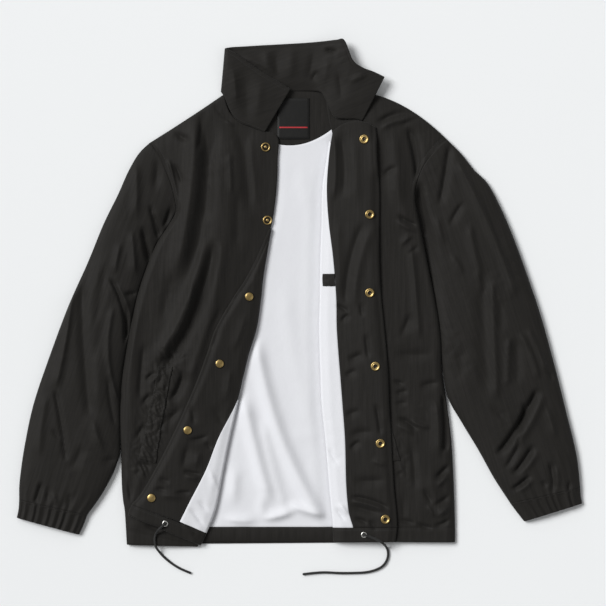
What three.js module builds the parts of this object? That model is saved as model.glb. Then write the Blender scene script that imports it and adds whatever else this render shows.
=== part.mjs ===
// A coach jacket laid open on a flat surface, in millimetres, +Z up.
// Every place is measured from the nape, the middle of the back neck seam: x to the wearer's left, y up the
// back towards the collar. The finished group is then set down with the middle of its footprint at the origin.
import * as THREE from "three";
import { mergeVertices } from "three/addons/utils/BufferGeometryUtils.js";

// Driving sizes
const SHELL_WALL = 1.2; // one layer of nylon with its lining pressed to it
const LINING_WALL = 1.0;
const TURNED_WALL = 2.0; // the facing with the front edge folded under it
const COLLAR_WALL = 1.8;
const TRIM_WALL = 0.8; // label, and the narrow welts that lie under or on other cloth
const SEAM_GAP = 0.3;
const ARMHOLE_GAP = 0.45;
const TURN_CLEARANCE = 2.2; // between a front and what is turned back onto it
const REST_HEIGHT = SHELL_WALL + SEAM_GAP; // underside of what lies on the back panel
const OPENING_HEIGHT = 6.5; // top of a front where it ends at the opening
const SIDE_SEAM_HEIGHT = 2.9;
const SIDE_ROUND = 15; // how far in the cloth rounds over at a side seam
const ARMHOLE_ROUND = 34;
const SHOULDER_ROUND = 22;
const ARMHOLE_LOFT = 12;
const SLEEVE_FOLD_HEIGHT = 3.2; // height of the folded edge of a flattened sleeve
const FOOTPRINT_MIDDLE = { x: -0.8, y: -323.2 };

const BLACK_NYLON = { color: 0x242322, roughness: 0.55, metalness: 0 };
const WHITE_LINING = { color: 0xe4e6ea, roughness: 0.85, metalness: 0 };
const LABEL_SATIN = { color: 0x15171a, roughness: 0.45, metalness: 0 };
const OLD_BRASS = { color: 0x9a8352, roughness: 0.38, metalness: 1 };
const NICKEL = { color: 0xd4d4d0, roughness: 0.3, metalness: 1 };
const BLACK_CORD = { color: 0x1b1b1a, roughness: 0.8, metalness: 0 };

// A table's rows as objects, from its column names and its numbers
function table(columns, rows) {
  const names = columns.split(" ");
  return rows.map((row) => Object.fromEntries(names.map((name, n) => [name, row[n]])));
}

// Each front is ruled from its edge at the opening to its outer edge: the shoulder is row 0, the armhole is rows 0
// to 5, the side seam the rest. Bow lifts the middle of a row, crown is the height of the cloth there.
const ARMPIT_ROW = 5;
const FRONT_RIGHT = table("edge_x edge_y side_x side_y bow crown", [
  [-122, -6, -240, -83, -1, 8],
  [-113, -34, -227, -101, 4, 10],
  [-94, -52, -216, -123, 0, 12],
  [-66, -63, -206, -149, 0, 13],
  [-37, -73, -200, -174, 0, 14],
  [-36, -110, -198, -194, 0, 15],
  [-38, -158, -211, -218, 0, 16],
  [-45, -210, -227, -243, 0, 16],
  [-60, -267, -242, -278, 0, 16],
  [-66, -331, -258, -326, 0, 16],
  [-73, -379, -270, -382, 0, 16],
  [-91, -443, -282, -450, 0, 15],
  [-105, -499, -286, -498, 0, 14],
  [-116, -555, -286, -542, 0, 13],
  [-127, -610, -286, -584, 0, 12],
  [-138, -667, -285, -629, 0, 11],
  [-153, -707, -283, -654, 0, 11],
  [-162, -724, -280, -675, 0, 10],
  [-164, -728, -277, -725, 0, 10],
]);
const FRONT_LEFT = table("edge_x edge_y side_x side_y bow crown", [
  [42, -6, 235, -78, 30, 8],
  [43, -21, 221, -90, 18, 10],
  [45, -37, 206, -107, 8, 12],
  [48, -54, 194, -126, 2, 13],
  [52, -72, 186, -149, 0, 14],
  [46, -110, 182, -174, 0, 15],
  [39, -158, 187, -203, 0, 16],
  [38, -210, 194, -238, 0, 16],
  [36, -267, 203, -283, 0, 16],
  [35, -331, 214, -338, 0, 16],
  [34, -382, 221, -382, 0, 16],
  [36, -450, 227, -446, 0, 15],
  [38, -502, 234, -494, 0, 14],
  [44, -558, 242, -558, 0, 13],
  [50, -630, 246, -630, 0, 12],
  [56, -698, 248, -698, 0, 10],
  [57, -720, 248, -721, 0, 10],
]);

// Each sleeve is ruled from its inner fold, against the body, to its outer fold. Row 0 is the armhole.
const SLEEVE_RIGHT = table("inner_x inner_y outer_x outer_y loft", [
  [-198, -194, -240, -83, 12],
  [-209, -213, -258, -101, 13],
  [-229, -243, -275, -130, 15],
  [-244, -278, -291, -166, 17],
  [-260, -326, -314, -213, 18],
  [-272, -382, -339, -274, 19],
  [-284, -450, -371, -346, 20],
  [-288, -510, -403, -432, 20],
  [-289, -566, -426, -501, 19],
  [-294, -600, -440, -566, 18],
  [-315, -642, -448, -622, 17],
  [-340, -678, -449, -653, 15],
]);
const SLEEVE_LEFT = table("inner_x inner_y outer_x outer_y loft", [
  [182, -174, 235, -78, 12],
  [187, -197, 258, -101, 13],
  [194, -229, 278, -126, 15],
  [204, -274, 299, -147, 17],
  [213, -322, 318, -181, 18],
  [223, -382, 339, -229, 19],
  [229, -443, 363, -294, 20],
  [237, -491, 386, -363, 20],
  [259, -531, 408, -443, 19],
  [285, -574, 426, -515, 18],
  [310, -619, 442, -582, 17],
  [336, -659, 448, -634, 15],
]);
const CUFF_RIGHT = table("inner_x inner_y outer_x outer_y loft", [
  [-340.1, -678.4, -449.1, -653.4, 15],
  [-346, -694, -450, -668, 13],
  [-353, -709, -452.8, -682, 12],
]);
const CUFF_LEFT = table("inner_x inner_y outer_x outer_y loft", [
  [336.1, -659.4, 448.1, -634.4, 15],
  [347, -674, 449, -648, 13],
  [358, -688, 451.2, -659, 12],
]);
const CUFF_GATHERS = 20; // pleats that the elastic draws into a cuff, all round
const CUFF_GATHER_DEPTH = 0.9;

// What is turned back onto each front, from the fold across the lining's seam with the facing to the front edge
const TURN_RIGHT = table("fold_x fold_y seam_x seam_y edge_x edge_y bow", [
  [-45.5, -221, -45.5, -221, -49, -222, 0],
  [-53.5, -267, -53.5, -267, -70, -270, 0],
  [-59, -302, -59, -302, -88, -304, 0],
  [-62, -331, -62, -331, -104, -328, 0],
  [-69, -379, -69, -379, -133, -378, 0],
  [-82, -422, -82, -422, -147, -418, 0],
  [-91, -459, -91, -459, -162, -459, 0],
  [-99, -499, -102, -499, -179, -499, 0],
  [-112, -555, -130, -554, -202, -549, 0],
  [-123, -610, -150, -605, -227, -598, 0],
  [-134, -667, -176, -656, -253, -643, 0],
  [-149, -707, -192, -688, -268, -661, 0],
  [-158, -726, -202, -707, -274, -677, 0],
]);
const TURN_LEFT = table("fold_x fold_y seam_x seam_y edge_x edge_y bow", [
  [48, -64, 53, -64, 120, -63, 15],
  [46, -80, 50, -80, 122, -79, 5],
  [42, -110, 46, -110, 123, -110, 0],
  [35, -158, 43, -158, 126, -158, 0],
  [34, -210, 46, -210, 126, -210, 0],
  [32, -267, 53, -267, 126, -267, 0],
  [31, -331, 58, -331, 129, -331, 0],
  [30, -382, 59, -382, 134, -382, 0],
  [32, -450, 64, -450, 140, -450, 0],
  [34, -502, 68, -502, 142, -502, 0],
  [40, -558, 72, -558, 145, -558, 0],
  [46, -630, 74, -630, 149, -630, 0],
  [50, -672, 78, -672, 153, -672, 0],
  [52, -698, 85, -698, 154, -698, 0],
  [53, -720, 87, -720, 151, -720, 0],
]);
const HEM_ROW_RIGHT = 11;
const HEM_ROW_LEFT = 13;

// The back lining, from under one front to under the other
const LINING_BACK = table("edge_x edge_y side_x side_y bow", [
  [-96, -50, 61, -53, -36],
  [-96, -70, 74, -75, -26],
  [-96, -110, 83, -114, -12],
  [-99, -158, 80, -158, -4],
  [-109, -210, 77, -210, 0],
  [-118, -267, 74, -267, 0],
  [-128, -334, 74, -334, 0],
  [-141, -406, 74, -406, 0],
  [-154, -470, 77, -470, 0],
  [-166, -534, 83, -534, 0],
  [-179, -598, 90, -598, 0],
  [-192, -654, 96, -654, 0],
  [-205, -697, 99, -697, 0],
]);
// The half-moon facing that finishes the back neck, from the neck seam down to the lining
const NECK_FACING = table("edge_x edge_y side_x side_y bow", [
  [-112, -6, 38, -5, 5.5],
  [-103, -29, 50, -30, -10],
  [-96, -49.6, 61, -52.6, -36],
]);
const HEM_CASING = table("edge_x edge_y side_x side_y bow", [
  [-205, -697.4, 99, -697.4, 0],
  [-206, -709, 99, -709, 0],
  [-207, -720.5, 99, -720.5, 0],
]);

// The collar in sections from the right point to the left one. It folds at the right side of the neck, so the
// right end lies over the back of the collar and the left end lies open over the shoulder.
const COLLAR = table("neck_x neck_y neck_z rim_x rim_y rim_z arch", [
  [-56.7, -65.4, 8.6, -16, 2, 12.5, 1],
  [-66, -62.2, 8.6, -34, 13, 12.5, 2],
  [-80, -56.6, 8.6, -59, 28, 13, 3],
  [-93.6, -51.3, 8.6, -84, 45, 13.5, 4],
  [-105, -42.5, 8.6, -101, 57, 14, 4],
  [-113, -30, 8.6, -111, 63, 14, 4],
  [-121, -10, 8.6, -117, 66, 13, 3],
  [-126.5, -1, 5.6, -120, 67, 9, 0],
  [-121, 0.5, 1.8, -110, 69, 3.5, 2],
  [-104, 0.5, 1.7, -93, 70, 2.6, 2],
  [-72, 0.5, 1.7, -60, 72, 2.4, 3],
  [-34, 0.5, 1.7, -22, 74, 3, 4],
  [0, 0.5, 1.8, 13, 76, 5, 4],
  [22, 0.5, 3.2, 38, 78, 9, 3],
  [35, -3, 6.8, 58, 80, 14, 2],
  [44, -20, 9.4, 71, 79, 18, 1],
  [55, -41, 10.4, 84, 48, 19, 1],
  [72, -44.4, 10.6, 99, 36, 18.5, 2],
  [87, -44.6, 10.6, 117, 29, 18, 2],
  [99, -47.6, 10.6, 134, 21, 17.5, 1],
]);

// Welts of the hand pockets, by their corners on each front
const POCKET_WELT_RIGHT = table("edge_x edge_y side_x side_y bow", [
  [-204, -441, -226, -440, 0],
  [-218, -518, -241, -514, 0],
  [-231, -595, -257, -587, 0],
]);
const POCKET_WELT_LEFT = table("edge_x edge_y side_x side_y bow", [
  [99, -440, 120, -440, 0],
  [117, -516, 140, -514, 0],
  [135, -593, 160, -590, 0],
]);
const INNER_WELT = table("edge_x edge_y side_x side_y bow", [
  [36.5, -293, 54, -293, 0],
  [36.5, -312, 55, -312, 0],
]);
const LABEL = { left: -36, right: 15, top: -12, bottom: -77 };

// Soft folds: a ridge, or a trough where height is negative, from one end to the other. Bend carries its middle to
// the left of the way it runs, width is how far it falls to about half.
const FOLD_COLUMNS = "start_x start_y end_x end_y bend width height";
const FOLDS_RIGHT = table(FOLD_COLUMNS, [
  [-178, -48, -205, -282, 8, 9, 7],
  [-155, -46, -186, -290, 9, 8, -6],
  [-150, -222, -230, -420, 15, 9, 6],
  [-137, -230, -217, -440, 13, 8, -7],
  [-124, -226, -184, -420, 10, 9, 4],
  [-93, -20, -80, -200, 3, 6, -3.5],
  [-103, -170, -110, -300, 0, 7, -3],
  [-262, -330, -270, -560, -3, 9, 3],
  [-252, -600, -262, -716, 2, 9, 3],
  [-140, -70, -136, -200, 2, 12, 3],
]);
const FOLDS_LEFT = table(FOLD_COLUMNS, [
  [168, -56, 178, -150, -4, 7, -5],
  [150, -50, 162, -190, -2, 10, 4],
  [138, -120, 176, -230, 3, 10, 3],
  [160, -196, 194, -218, 2, 6, -4],
  [150, -408, 216, -418, 3, 8, -3],
  [156, -520, 214, -536, -4, 7, -4],
  [228, -484, 232, -580, 2, 5, -4],
  [210, -590, 236, -700, -8, 9, 4],
  [184, -560, 196, -700, 4, 12, 3],
]);
const FOLDS_SLEEVE_RIGHT = table(FOLD_COLUMNS, [
  [-344, -370, -330, -590, -4, 9, -4],
  [-370, -390, -386, -500, -3, 8, 4],
  [-318, -400, -322, -520, -2, 9, 3],
  [-300, -300, -279, -390, 4, 6, -5],
  [-262, -112, -262, -210, 2, 6, 3],
  [-250, -224, -240, -284, -2, 5, -5],
]);
const FOLDS_SLEEVE_LEFT = table(FOLD_COLUMNS, [
  [238, -84, 230, -170, 2, 7, -2.6],
  [262, -150, 340, -330, -6, 9, 3],
  [380, -480, 322, -584, -4, 7, -5],
  [368, -566, 338, -612, -2, 6, -5],
  [310, -330, 312, -500, -3, 11, 3],
  [396, -590, 402, -638, 0, 5, -3],
]);
const FOLDS_LINING = table(FOLD_COLUMNS, [
  [-64, -404, 20, -660, -12, 9, 5],
  [-96, -466, -32, -660, -10, 7, 6],
  [-104, -560, -96, -690, 2, 9, 5],
  [-124, -676, 0, -664, -16, 6, 5],
  [0, -664, 46, -690, 2, 6, 4],
]);
const FOLDS_TURN_RIGHT = table(FOLD_COLUMNS, [
  [-124, -340, -146, -398, 4, 6, -1.2],
  [-186, -612, -158, -616, 0, 5, 2.2],
  [-226, -642, -180, -640, 0, 5, 2.2],
]);
const FOLDS_TURN_LEFT = table(FOLD_COLUMNS, [
  [66, -66, 60, -176, 6, 7, 3],
  [104, -206, 72, -300, 4, 8, 3.5],
  [64, -346, 76, -362, 2, 4, 2],
  [74, -430, 104, -416, -2, 5, 1.5],
  [80, -552, 122, -556, 3, 5, 2],
  [78, -650, 140, -664, 2, 5, 3.5],
]);

// Snap fasteners and eyelets, by their places
const SOCKETS = table("x y", [[102, -78], [111, -198], [111, -323], [120, -440], [128, -563], [136, -684]]);
const STUDS = table("x y", [[-55, -90], [-52, -207]]);
const SNAP_BACKS = table("x y", [[-81, -329], [-128, -436], [-179, -542], [-237, -650]]);
const EYELETS = { right: { x: -215, y: -691 }, left: { x: 102, y: -709 } };

// Drawcord ends, from each eyelet over the hem and out along the surface
const CORD_RADIUS = 1.9;
const CORD_SIDES = 8;
const CORD_RIGHT = [
  [-215, -691], [-219, -694.5], [-225.5, -701], [-230.5, -709], [-232, -718], [-230, -728], [-225, -737],
  [-218, -745], [-208, -753.5], [-197, -761], [-186, -766.5], [-175, -771],
];
const CORD_LEFT = [
  [102, -709], [109, -711], [120, -715], [130, -720.5], [137, -728], [140.5, -736], [140.5, -745], [137, -754],
  [130, -761.5], [118, -767], [104, -770], [84, -771], [62, -771], [40, -770], [22, -771], [5, -773],
];

const clamp01 = (value) => THREE.MathUtils.clamp(value, 0, 1);
const smooth = (value) => clamp01(value) ** 2 * (3 - 2 * clamp01(value));
// Height of a quarter round, as a share of its full height, a share of the way in from its edge
const quarterRound = (value) => Math.sqrt(1 - (1 - clamp01(value)) ** 2);
// Height of a flattened tube's upper wall, as a share of its loft, a share of the way across
const flatOval = (across) => (1 - Math.abs(2 * across - 1) ** 3.2) ** (1 / 3.2);

// The value of a table's column at a place between its rows, on a smooth curve through the rows
function columnAt(rows, column, place) {
  const row = Math.min(Math.max(Math.floor(place), 0), rows.length - 2);
  const t = place - row;
  const value = (n) => rows[THREE.MathUtils.clamp(n, 0, rows.length - 1)][column];
  const [a, b, c, d] = [value(row - 1), value(row), value(row + 1), value(row + 2)];
  return b + 0.5 * t * (c - a + t * (2 * a - 5 * b + 4 * c - d + t * (3 * (b - c) + d - a)));
}

// A point across a ruled row, between the two edges that the names stand for
function ruledPoint(rows, from, to, place, across) {
  const x = THREE.MathUtils.lerp(columnAt(rows, from + "_x", place), columnAt(rows, to + "_x", place), across);
  const y = THREE.MathUtils.lerp(columnAt(rows, from + "_y", place), columnAt(rows, to + "_y", place), across);
  const bow = "bow" in rows[0] ? columnAt(rows, "bow", place) : 0;
  return new THREE.Vector2(x, y + bow * 4 * across * (1 - across));
}

// The place and the share across at which a point lies on a ruled panel
function placeOn(rows, from, to, x, y) {
  let [low, high] = [0, rows.length - 1];
  let across = 0;
  for (let step = 0; step < 24; step++) {
    const place = (low + high) / 2;
    const start = ruledPoint(rows, from, to, place, 0);
    const end = ruledPoint(rows, from, to, place, 1);
    across = clamp01((x - start.x) / (end.x - start.x));
    if (y < ruledPoint(rows, from, to, place, across).y) low = place;
    else high = place;
  }
  return { place: (low + high) / 2, across };
}

function foldHeight(folds, x, y) {
  let height = 0;
  for (const fold of folds) {
    const [run, drop] = [fold.end_x - fold.start_x, fold.end_y - fold.start_y];
    const length = Math.hypot(run, drop);
    const along = ((x - fold.start_x) * run + (y - fold.start_y) * drop) / length ** 2;
    if (along <= 0 || along >= 1) continue;
    const aside = (run * (y - fold.start_y) - drop * (x - fold.start_x)) / length;
    const off = (aside - fold.bend * 4 * along * (1 - along)) / fold.width;
    const taper = smooth(along / 0.25) * smooth((1 - along) / 0.25);
    height += fold.height * taper * Math.exp(-0.7 * off * off);
  }
  return height;
}

// One closed mesh from a list of points and quads, turned to face out
function closedGeometry(points, quads) {
  const positions = new Float32Array(points.flatMap((p) => [p.x, p.y, p.z]));
  const index = quads.flatMap(([a, b, c, d]) => [a, b, c, a, c, d]);
  let volume = 0;
  for (let n = 0; n < index.length; n += 3) {
    const [a, b, c] = [points[index[n]], points[index[n + 1]], points[index[n + 2]]];
    volume += a.dot(new THREE.Vector3().crossVectors(b, c));
  }
  if (volume < 0) index.reverse();
  const geometry = new THREE.BufferGeometry();
  geometry.setAttribute("position", new THREE.BufferAttribute(positions, 3));
  geometry.setIndex(index);
  geometry.computeVertexNormals();
  return geometry;
}

// Normals of a grid of points, all turned to the same side: up for a sheet, outwards for a tube
function gridNormals(grid, wraps, up) {
  return grid.map((row, i) =>
    row.map((point, j) => {
      const count = row.length;
      const left = wraps ? row[(j + count - 1) % count] : row[Math.max(j - 1, 0)];
      const right = wraps ? row[(j + 1) % count] : row[Math.min(j + 1, count - 1)];
      const above = grid[Math.max(i - 1, 0)][j];
      const below = grid[Math.min(i + 1, grid.length - 1)][j];
      const across = new THREE.Vector3().subVectors(right, left);
      const down = new THREE.Vector3().subVectors(below, above);
      return new THREE.Vector3().crossVectors(down, across).normalize().multiplyScalar(up);
    }),
  );
}

// A cloth wall under a grid of points on its upper face, kept above the floor that is given
function sheet(grid, wall, floor = 0) {
  const [rows, columns] = [grid.length, grid[0].length];
  const probe = gridNormals(grid, false, 1)[1][columns >> 1];
  const normals = gridNormals(grid, false, probe.z < 0 ? -1 : 1);
  const under = grid.map((row, i) => row.map((p, j) => p.clone().addScaledVector(normals[i][j], -wall)));
  for (const point of under.flat()) point.z = Math.max(point.z, floor);
  const points = [...grid.flat(), ...under.flat()];
  const top = (i, j) => i * columns + j;
  const bottom = (i, j) => rows * columns + top(i, j);
  const quads = [];
  for (let i = 0; i < rows - 1; i++)
    for (let j = 0; j < columns - 1; j++) {
      quads.push([top(i, j), top(i + 1, j), top(i + 1, j + 1), top(i, j + 1)]);
      quads.push([bottom(i, j), bottom(i, j + 1), bottom(i + 1, j + 1), bottom(i + 1, j)]);
    }
  for (let j = 0; j < columns - 1; j++) {
    quads.push([top(0, j), top(0, j + 1), bottom(0, j + 1), bottom(0, j)]);
    quads.push([top(rows - 1, j + 1), top(rows - 1, j), bottom(rows - 1, j), bottom(rows - 1, j + 1)]);
  }
  for (let i = 0; i < rows - 1; i++) {
    quads.push([top(i + 1, 0), top(i, 0), bottom(i, 0), bottom(i + 1, 0)]);
    quads.push([top(i, columns - 1), top(i + 1, columns - 1), bottom(i + 1, columns - 1), bottom(i, columns - 1)]);
  }
  return closedGeometry(points, quads);
}

// A tube's wall inside a grid of rings on its outer face, open at both ends
function tube(rings, wall) {
  const [rows, columns] = [rings.length, rings[0].length];
  const probe = gridNormals(rings, true, 1)[rows >> 1][columns >> 2];
  const normals = gridNormals(rings, true, probe.z < 0 ? -1 : 1);
  const inner = rings.map((ring, i) => ring.map((p, j) => p.clone().addScaledVector(normals[i][j], -wall)));
  const points = [...rings.flat(), ...inner.flat()];
  const outside = (i, j) => i * columns + (j % columns);
  const inside = (i, j) => rows * columns + outside(i, j);
  const quads = [];
  for (let j = 0; j < columns; j++) {
    for (let i = 0; i < rows - 1; i++) {
      quads.push([outside(i, j), outside(i + 1, j), outside(i + 1, j + 1), outside(i, j + 1)]);
      quads.push([inside(i, j), inside(i, j + 1), inside(i + 1, j + 1), inside(i + 1, j)]);
    }
    quads.push([outside(0, j), outside(0, j + 1), inside(0, j + 1), inside(0, j)]);
    quads.push([outside(rows - 1, j + 1), outside(rows - 1, j), inside(rows - 1, j), inside(rows - 1, j + 1)]);
  }
  return closedGeometry(points, quads);
}

const group = new THREE.Group();
group.position.set(-FOOTPRINT_MIDDLE.x, -FOOTPRINT_MIDDLE.y, 0);

function addPiece(name, geometry, finish) {
  const mesh = new THREE.Mesh(geometry, new THREE.MeshStandardMaterial(finish));
  mesh.name = name;
  group.add(mesh);
  return mesh;
}

const evenSteps = (from, to, count) => Array.from({ length: count + 1 }, (_, n) => from + ((to - from) * n) / count);

// Height of the armhole seam, a share of the way from the shoulder to the armpit
const onFront = (rows, x, y) => placeOn(rows, "edge", "side", x, y);
const armholeHeight = (share) => SLEEVE_FOLD_HEIGHT + (ARMHOLE_LOFT - SLEEVE_FOLD_HEIGHT) * flatOval(share);
const ARMHOLE_PLACES = [0, 0.2, 0.6, 1.2, 1.9, 2.6, 3.3, 4, 4.5, 4.8, ARMPIT_ROW];

// Height of a front's outer edge: on the armhole seam above the armpit, on the back panel below it
function outerEdgeHeight(place) {
  if (place <= ARMPIT_ROW) return armholeHeight(place / ARMPIT_ROW);
  return THREE.MathUtils.lerp(SLEEVE_FOLD_HEIGHT, SIDE_SEAM_HEIGHT, smooth(place - ARMPIT_ROW));
}

// Height of a front at a place on it, before any fold
function frontHeight(rows, place, across) {
  const edge = ruledPoint(rows, "edge", "side", place, 0);
  const side = ruledPoint(rows, "edge", "side", place, 1);
  const shoulder = ruledPoint(rows, "edge", "side", 0, across);
  const here = ruledPoint(rows, "edge", "side", place, across);
  const crown = columnAt(rows, "crown", place);
  const body = THREE.MathUtils.lerp(OPENING_HEIGHT, crown, smooth(across / 0.5));
  const round = THREE.MathUtils.lerp(ARMHOLE_ROUND, SIDE_ROUND, smooth((place - ARMPIT_ROW + 1.5) / 2));
  const fromSide = (1 - across) * edge.distanceTo(side);
  const fromShoulder = here.distanceTo(shoulder);
  const outer = outerEdgeHeight(place);
  const rise = quarterRound(fromSide / round);
  const shoulderRise = quarterRound(fromShoulder / SHOULDER_ROUND);
  return THREE.MathUtils.lerp(SIDE_SEAM_HEIGHT + 1, outer + (body - outer) * rise, shoulderRise);
}

// How far a point lies outside what is turned back, in millimetres: folds of a front fade out under it
function outsideTurn(turn, x, y, towards) {
  const [first, last] = [turn[0], turn[turn.length - 1]];
  let row = 0;
  while (row < turn.length - 2 && turn[row + 1].edge_y > y) row++;
  const [a, b] = [turn[row], turn[row + 1]];
  const share = clamp01((y - a.edge_y) / (b.edge_y - a.edge_y));
  const sideways = towards * (x - THREE.MathUtils.lerp(a.edge_x, b.edge_x, share));
  return Math.max(sideways, y - first.edge_y, last.edge_y - y);
}

// Towards is the way that a turned front edge lies from its fold, away is the way from the armhole to the sleeve
const SIDES = {
  right: {
    rows: FRONT_RIGHT,
    turn: TURN_RIGHT,
    folds: FOLDS_RIGHT,
    turnFolds: FOLDS_TURN_RIGHT,
    towards: -1,
    away: new THREE.Vector2(-0.93, -0.36),
  },
  left: {
    rows: FRONT_LEFT,
    turn: TURN_LEFT,
    folds: FOLDS_LEFT,
    turnFolds: FOLDS_TURN_LEFT,
    towards: 1,
    away: new THREE.Vector2(0.88, -0.48),
  },
};

// Top of a front with its folds
function frontSurface(side, place, across) {
  const { rows, turn, folds, towards } = SIDES[side];
  const at = ruledPoint(rows, "edge", "side", place, across);
  const span = ruledPoint(rows, "edge", "side", place, 0).distanceTo(ruledPoint(rows, "edge", "side", place, 1));
  const nearOuter = smooth(((1 - across) * span) / 26);
  const nearOpening = smooth((across * span) / 24);
  const clear = smooth((outsideTurn(turn, at.x, at.y, towards) - 2) / 16);
  const height = frontHeight(rows, place, across) + foldHeight(folds, at.x, at.y) * nearOuter * nearOpening * clear;
  return new THREE.Vector3(at.x, at.y, height);
}

// Front panels
const FRONT_PLACES = [...ARMHOLE_PLACES, 5.5, 6.2, ...evenSteps(7, 15, 12)];
const SIDE_MARGINS = [9, 4, 1.2, 0];
function frontGrid(side) {
  const { rows } = SIDES[side];
  const last = rows.length - 1;
  const places = [...FRONT_PLACES.filter((place) => place < last - 0.4), last];
  if (side === "right") places.splice(-1, 0, 16, 17);
  return places.map((place) => {
    const span = ruledPoint(rows, "edge", "side", place, 0).distanceTo(ruledPoint(rows, "edge", "side", place, 1));
    const nearSide = SIDE_MARGINS.map((margin) => 1 - margin / span);
    return [...evenSteps(0, 1 - 20 / span, 10), ...nearSide].map((across) => frontSurface(side, place, across));
  });
}
const frontGrids = { right: frontGrid("right"), left: frontGrid("left") };
addPiece("front_right", sheet(frontGrids.right, SHELL_WALL, REST_HEIGHT), BLACK_NYLON);
addPiece("front_left", sheet(frontGrids.left, SHELL_WALL, REST_HEIGHT), BLACK_NYLON);

// Height of a grid's top at a place: on its own triangle there, or else at its nearest point or at the surface
function heightOn(grid, x, y, onlyInside = false) {
  let nearest = grid[0][0];
  const gap = (p) => (p.x - x) ** 2 + (p.y - y) ** 2;
  const area = (p, q) => (p.x - x) * (q.y - y) - (q.x - x) * (p.y - y);
  for (let i = 0; i < grid.length - 1; i++)
    for (let j = 0; j < grid[0].length - 1; j++) {
      const [a, b, c, d] = [grid[i][j], grid[i + 1][j], grid[i + 1][j + 1], grid[i][j + 1]];
      for (const corners of [[a, b, c], [a, c, d]]) {
        const shares = corners.map((_, n) => area(corners[(n + 1) % 3], corners[(n + 2) % 3]));
        const whole = shares[0] + shares[1] + shares[2];
        if (whole !== 0 && shares.every((share) => share / whole >= 0))
          return corners.reduce((height, corner, n) => height + (corner.z * shares[n]) / whole, 0);
      }
      for (const corner of [a, c]) if (gap(corner) < gap(nearest)) nearest = corner;
    }
  return onlyInside ? 0 : nearest.z;
}

// Top of what is turned back: the front's own surface moved out, rounded down over the fold where it wraps
const WRAP_WIDTH = 7;
function turnSurface(side, from, to, place, across) {
  const { turn, turnFolds } = SIDES[side];
  const at = ruledPoint(turn, from, to, place, across);
  const lift = Math.max(foldHeight(turnFolds, at.x, at.y), -1.2);
  const top = heightOn(frontGrids[side], at.x, at.y) + TURN_CLEARANCE + TURNED_WALL + lift;
  const fromFold = at.distanceTo(ruledPoint(turn, "fold", "edge", place, 0));
  const low = REST_HEIGHT + LINING_WALL + TURNED_WALL + 0.5;
  return new THREE.Vector3(at.x, at.y, low + (top - low) * quarterRound(fromFold / WRAP_WIDTH));
}

// The back panel: flat on the surface, cut to the outer edges of the fronts and the back neck
function backPanel() {
  const sideOf = (rows) => evenSteps(0, rows.length - 1, 40).map((place) => ruledPoint(rows, "edge", "side", place, 1));
  const shoulderOf = (rows) => evenSteps(0, 1, 8).map((across) => ruledPoint(rows, "edge", "side", 0, across));
  const neck = evenSteps(0, 1, 6).map((share) => ruledPoint(NECK_FACING, "edge", "side", 0, share));
  const outline = [
    ...shoulderOf(FRONT_RIGHT).reverse(),
    ...neck.slice(1, -1),
    ...shoulderOf(FRONT_LEFT),
    ...sideOf(FRONT_LEFT).slice(1),
    ...sideOf(FRONT_RIGHT).reverse().slice(0, -1),
  ];
  const geometry = new THREE.ExtrudeGeometry(new THREE.Shape(outline), { depth: SHELL_WALL, bevelEnabled: false });
  geometry.deleteAttribute("normal");
  geometry.deleteAttribute("uv");
  return mergeVertices(geometry, 1e-3);
}
addPiece("back", backPanel(), BLACK_NYLON);

// Pieces that lie on the back panel
function lyingGrid(rows, places, acrosses, heightAt) {
  return places.map((place) =>
    acrosses.map((across) => {
      const at = ruledPoint(rows, "edge", "side", place, across);
      return new THREE.Vector3(at.x, at.y, heightAt(at.x, at.y, place));
    }),
  );
}

// Folds of the lining fade out under the fronts
function liningHeight(x, y) {
  const rightEdge = ruledPoint(FRONT_RIGHT, "edge", "side", onFront(FRONT_RIGHT, x, y).place, 0);
  const leftEdge = ruledPoint(FRONT_LEFT, "edge", "side", onFront(FRONT_LEFT, x, y).place, 0);
  const open = smooth((x - rightEdge.x - 8) / 18) * smooth((leftEdge.x - 10 - x) / 18);
  return REST_HEIGHT + LINING_WALL + Math.max(foldHeight(FOLDS_LINING, x, y), 0) * open;
}
const liningGrid = lyingGrid(LINING_BACK, evenSteps(0, 12, 20), evenSteps(0, 1, 14), liningHeight);
addPiece("lining_back", sheet(liningGrid, LINING_WALL), WHITE_LINING);

const NECK_TOP = REST_HEIGHT + SHELL_WALL;
const neckGrid = lyingGrid(NECK_FACING, evenSteps(0, 2, 3), evenSteps(0, 1, 12), () => NECK_TOP);
addPiece("neck_facing", sheet(neckGrid, SHELL_WALL), BLACK_NYLON);
const casingHeight = (x, y, place) => NECK_TOP + 1.4 * Math.sin((Math.PI * place) / 2);
const casingGrid = lyingGrid(HEM_CASING, evenSteps(0, 2, 4), evenSteps(0, 1, 8), casingHeight);
addPiece("hem_casing_back", sheet(casingGrid, SHELL_WALL, REST_HEIGHT), BLACK_NYLON);

const label = new THREE.BoxGeometry(LABEL.right - LABEL.left, LABEL.top - LABEL.bottom, TRIM_WALL);
addPiece("label", label, LABEL_SATIN).position.set(
  (LABEL.right + LABEL.left) / 2,
  (LABEL.top + LABEL.bottom) / 2,
  NECK_TOP + SEAM_GAP + TRIM_WALL / 2,
);

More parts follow.
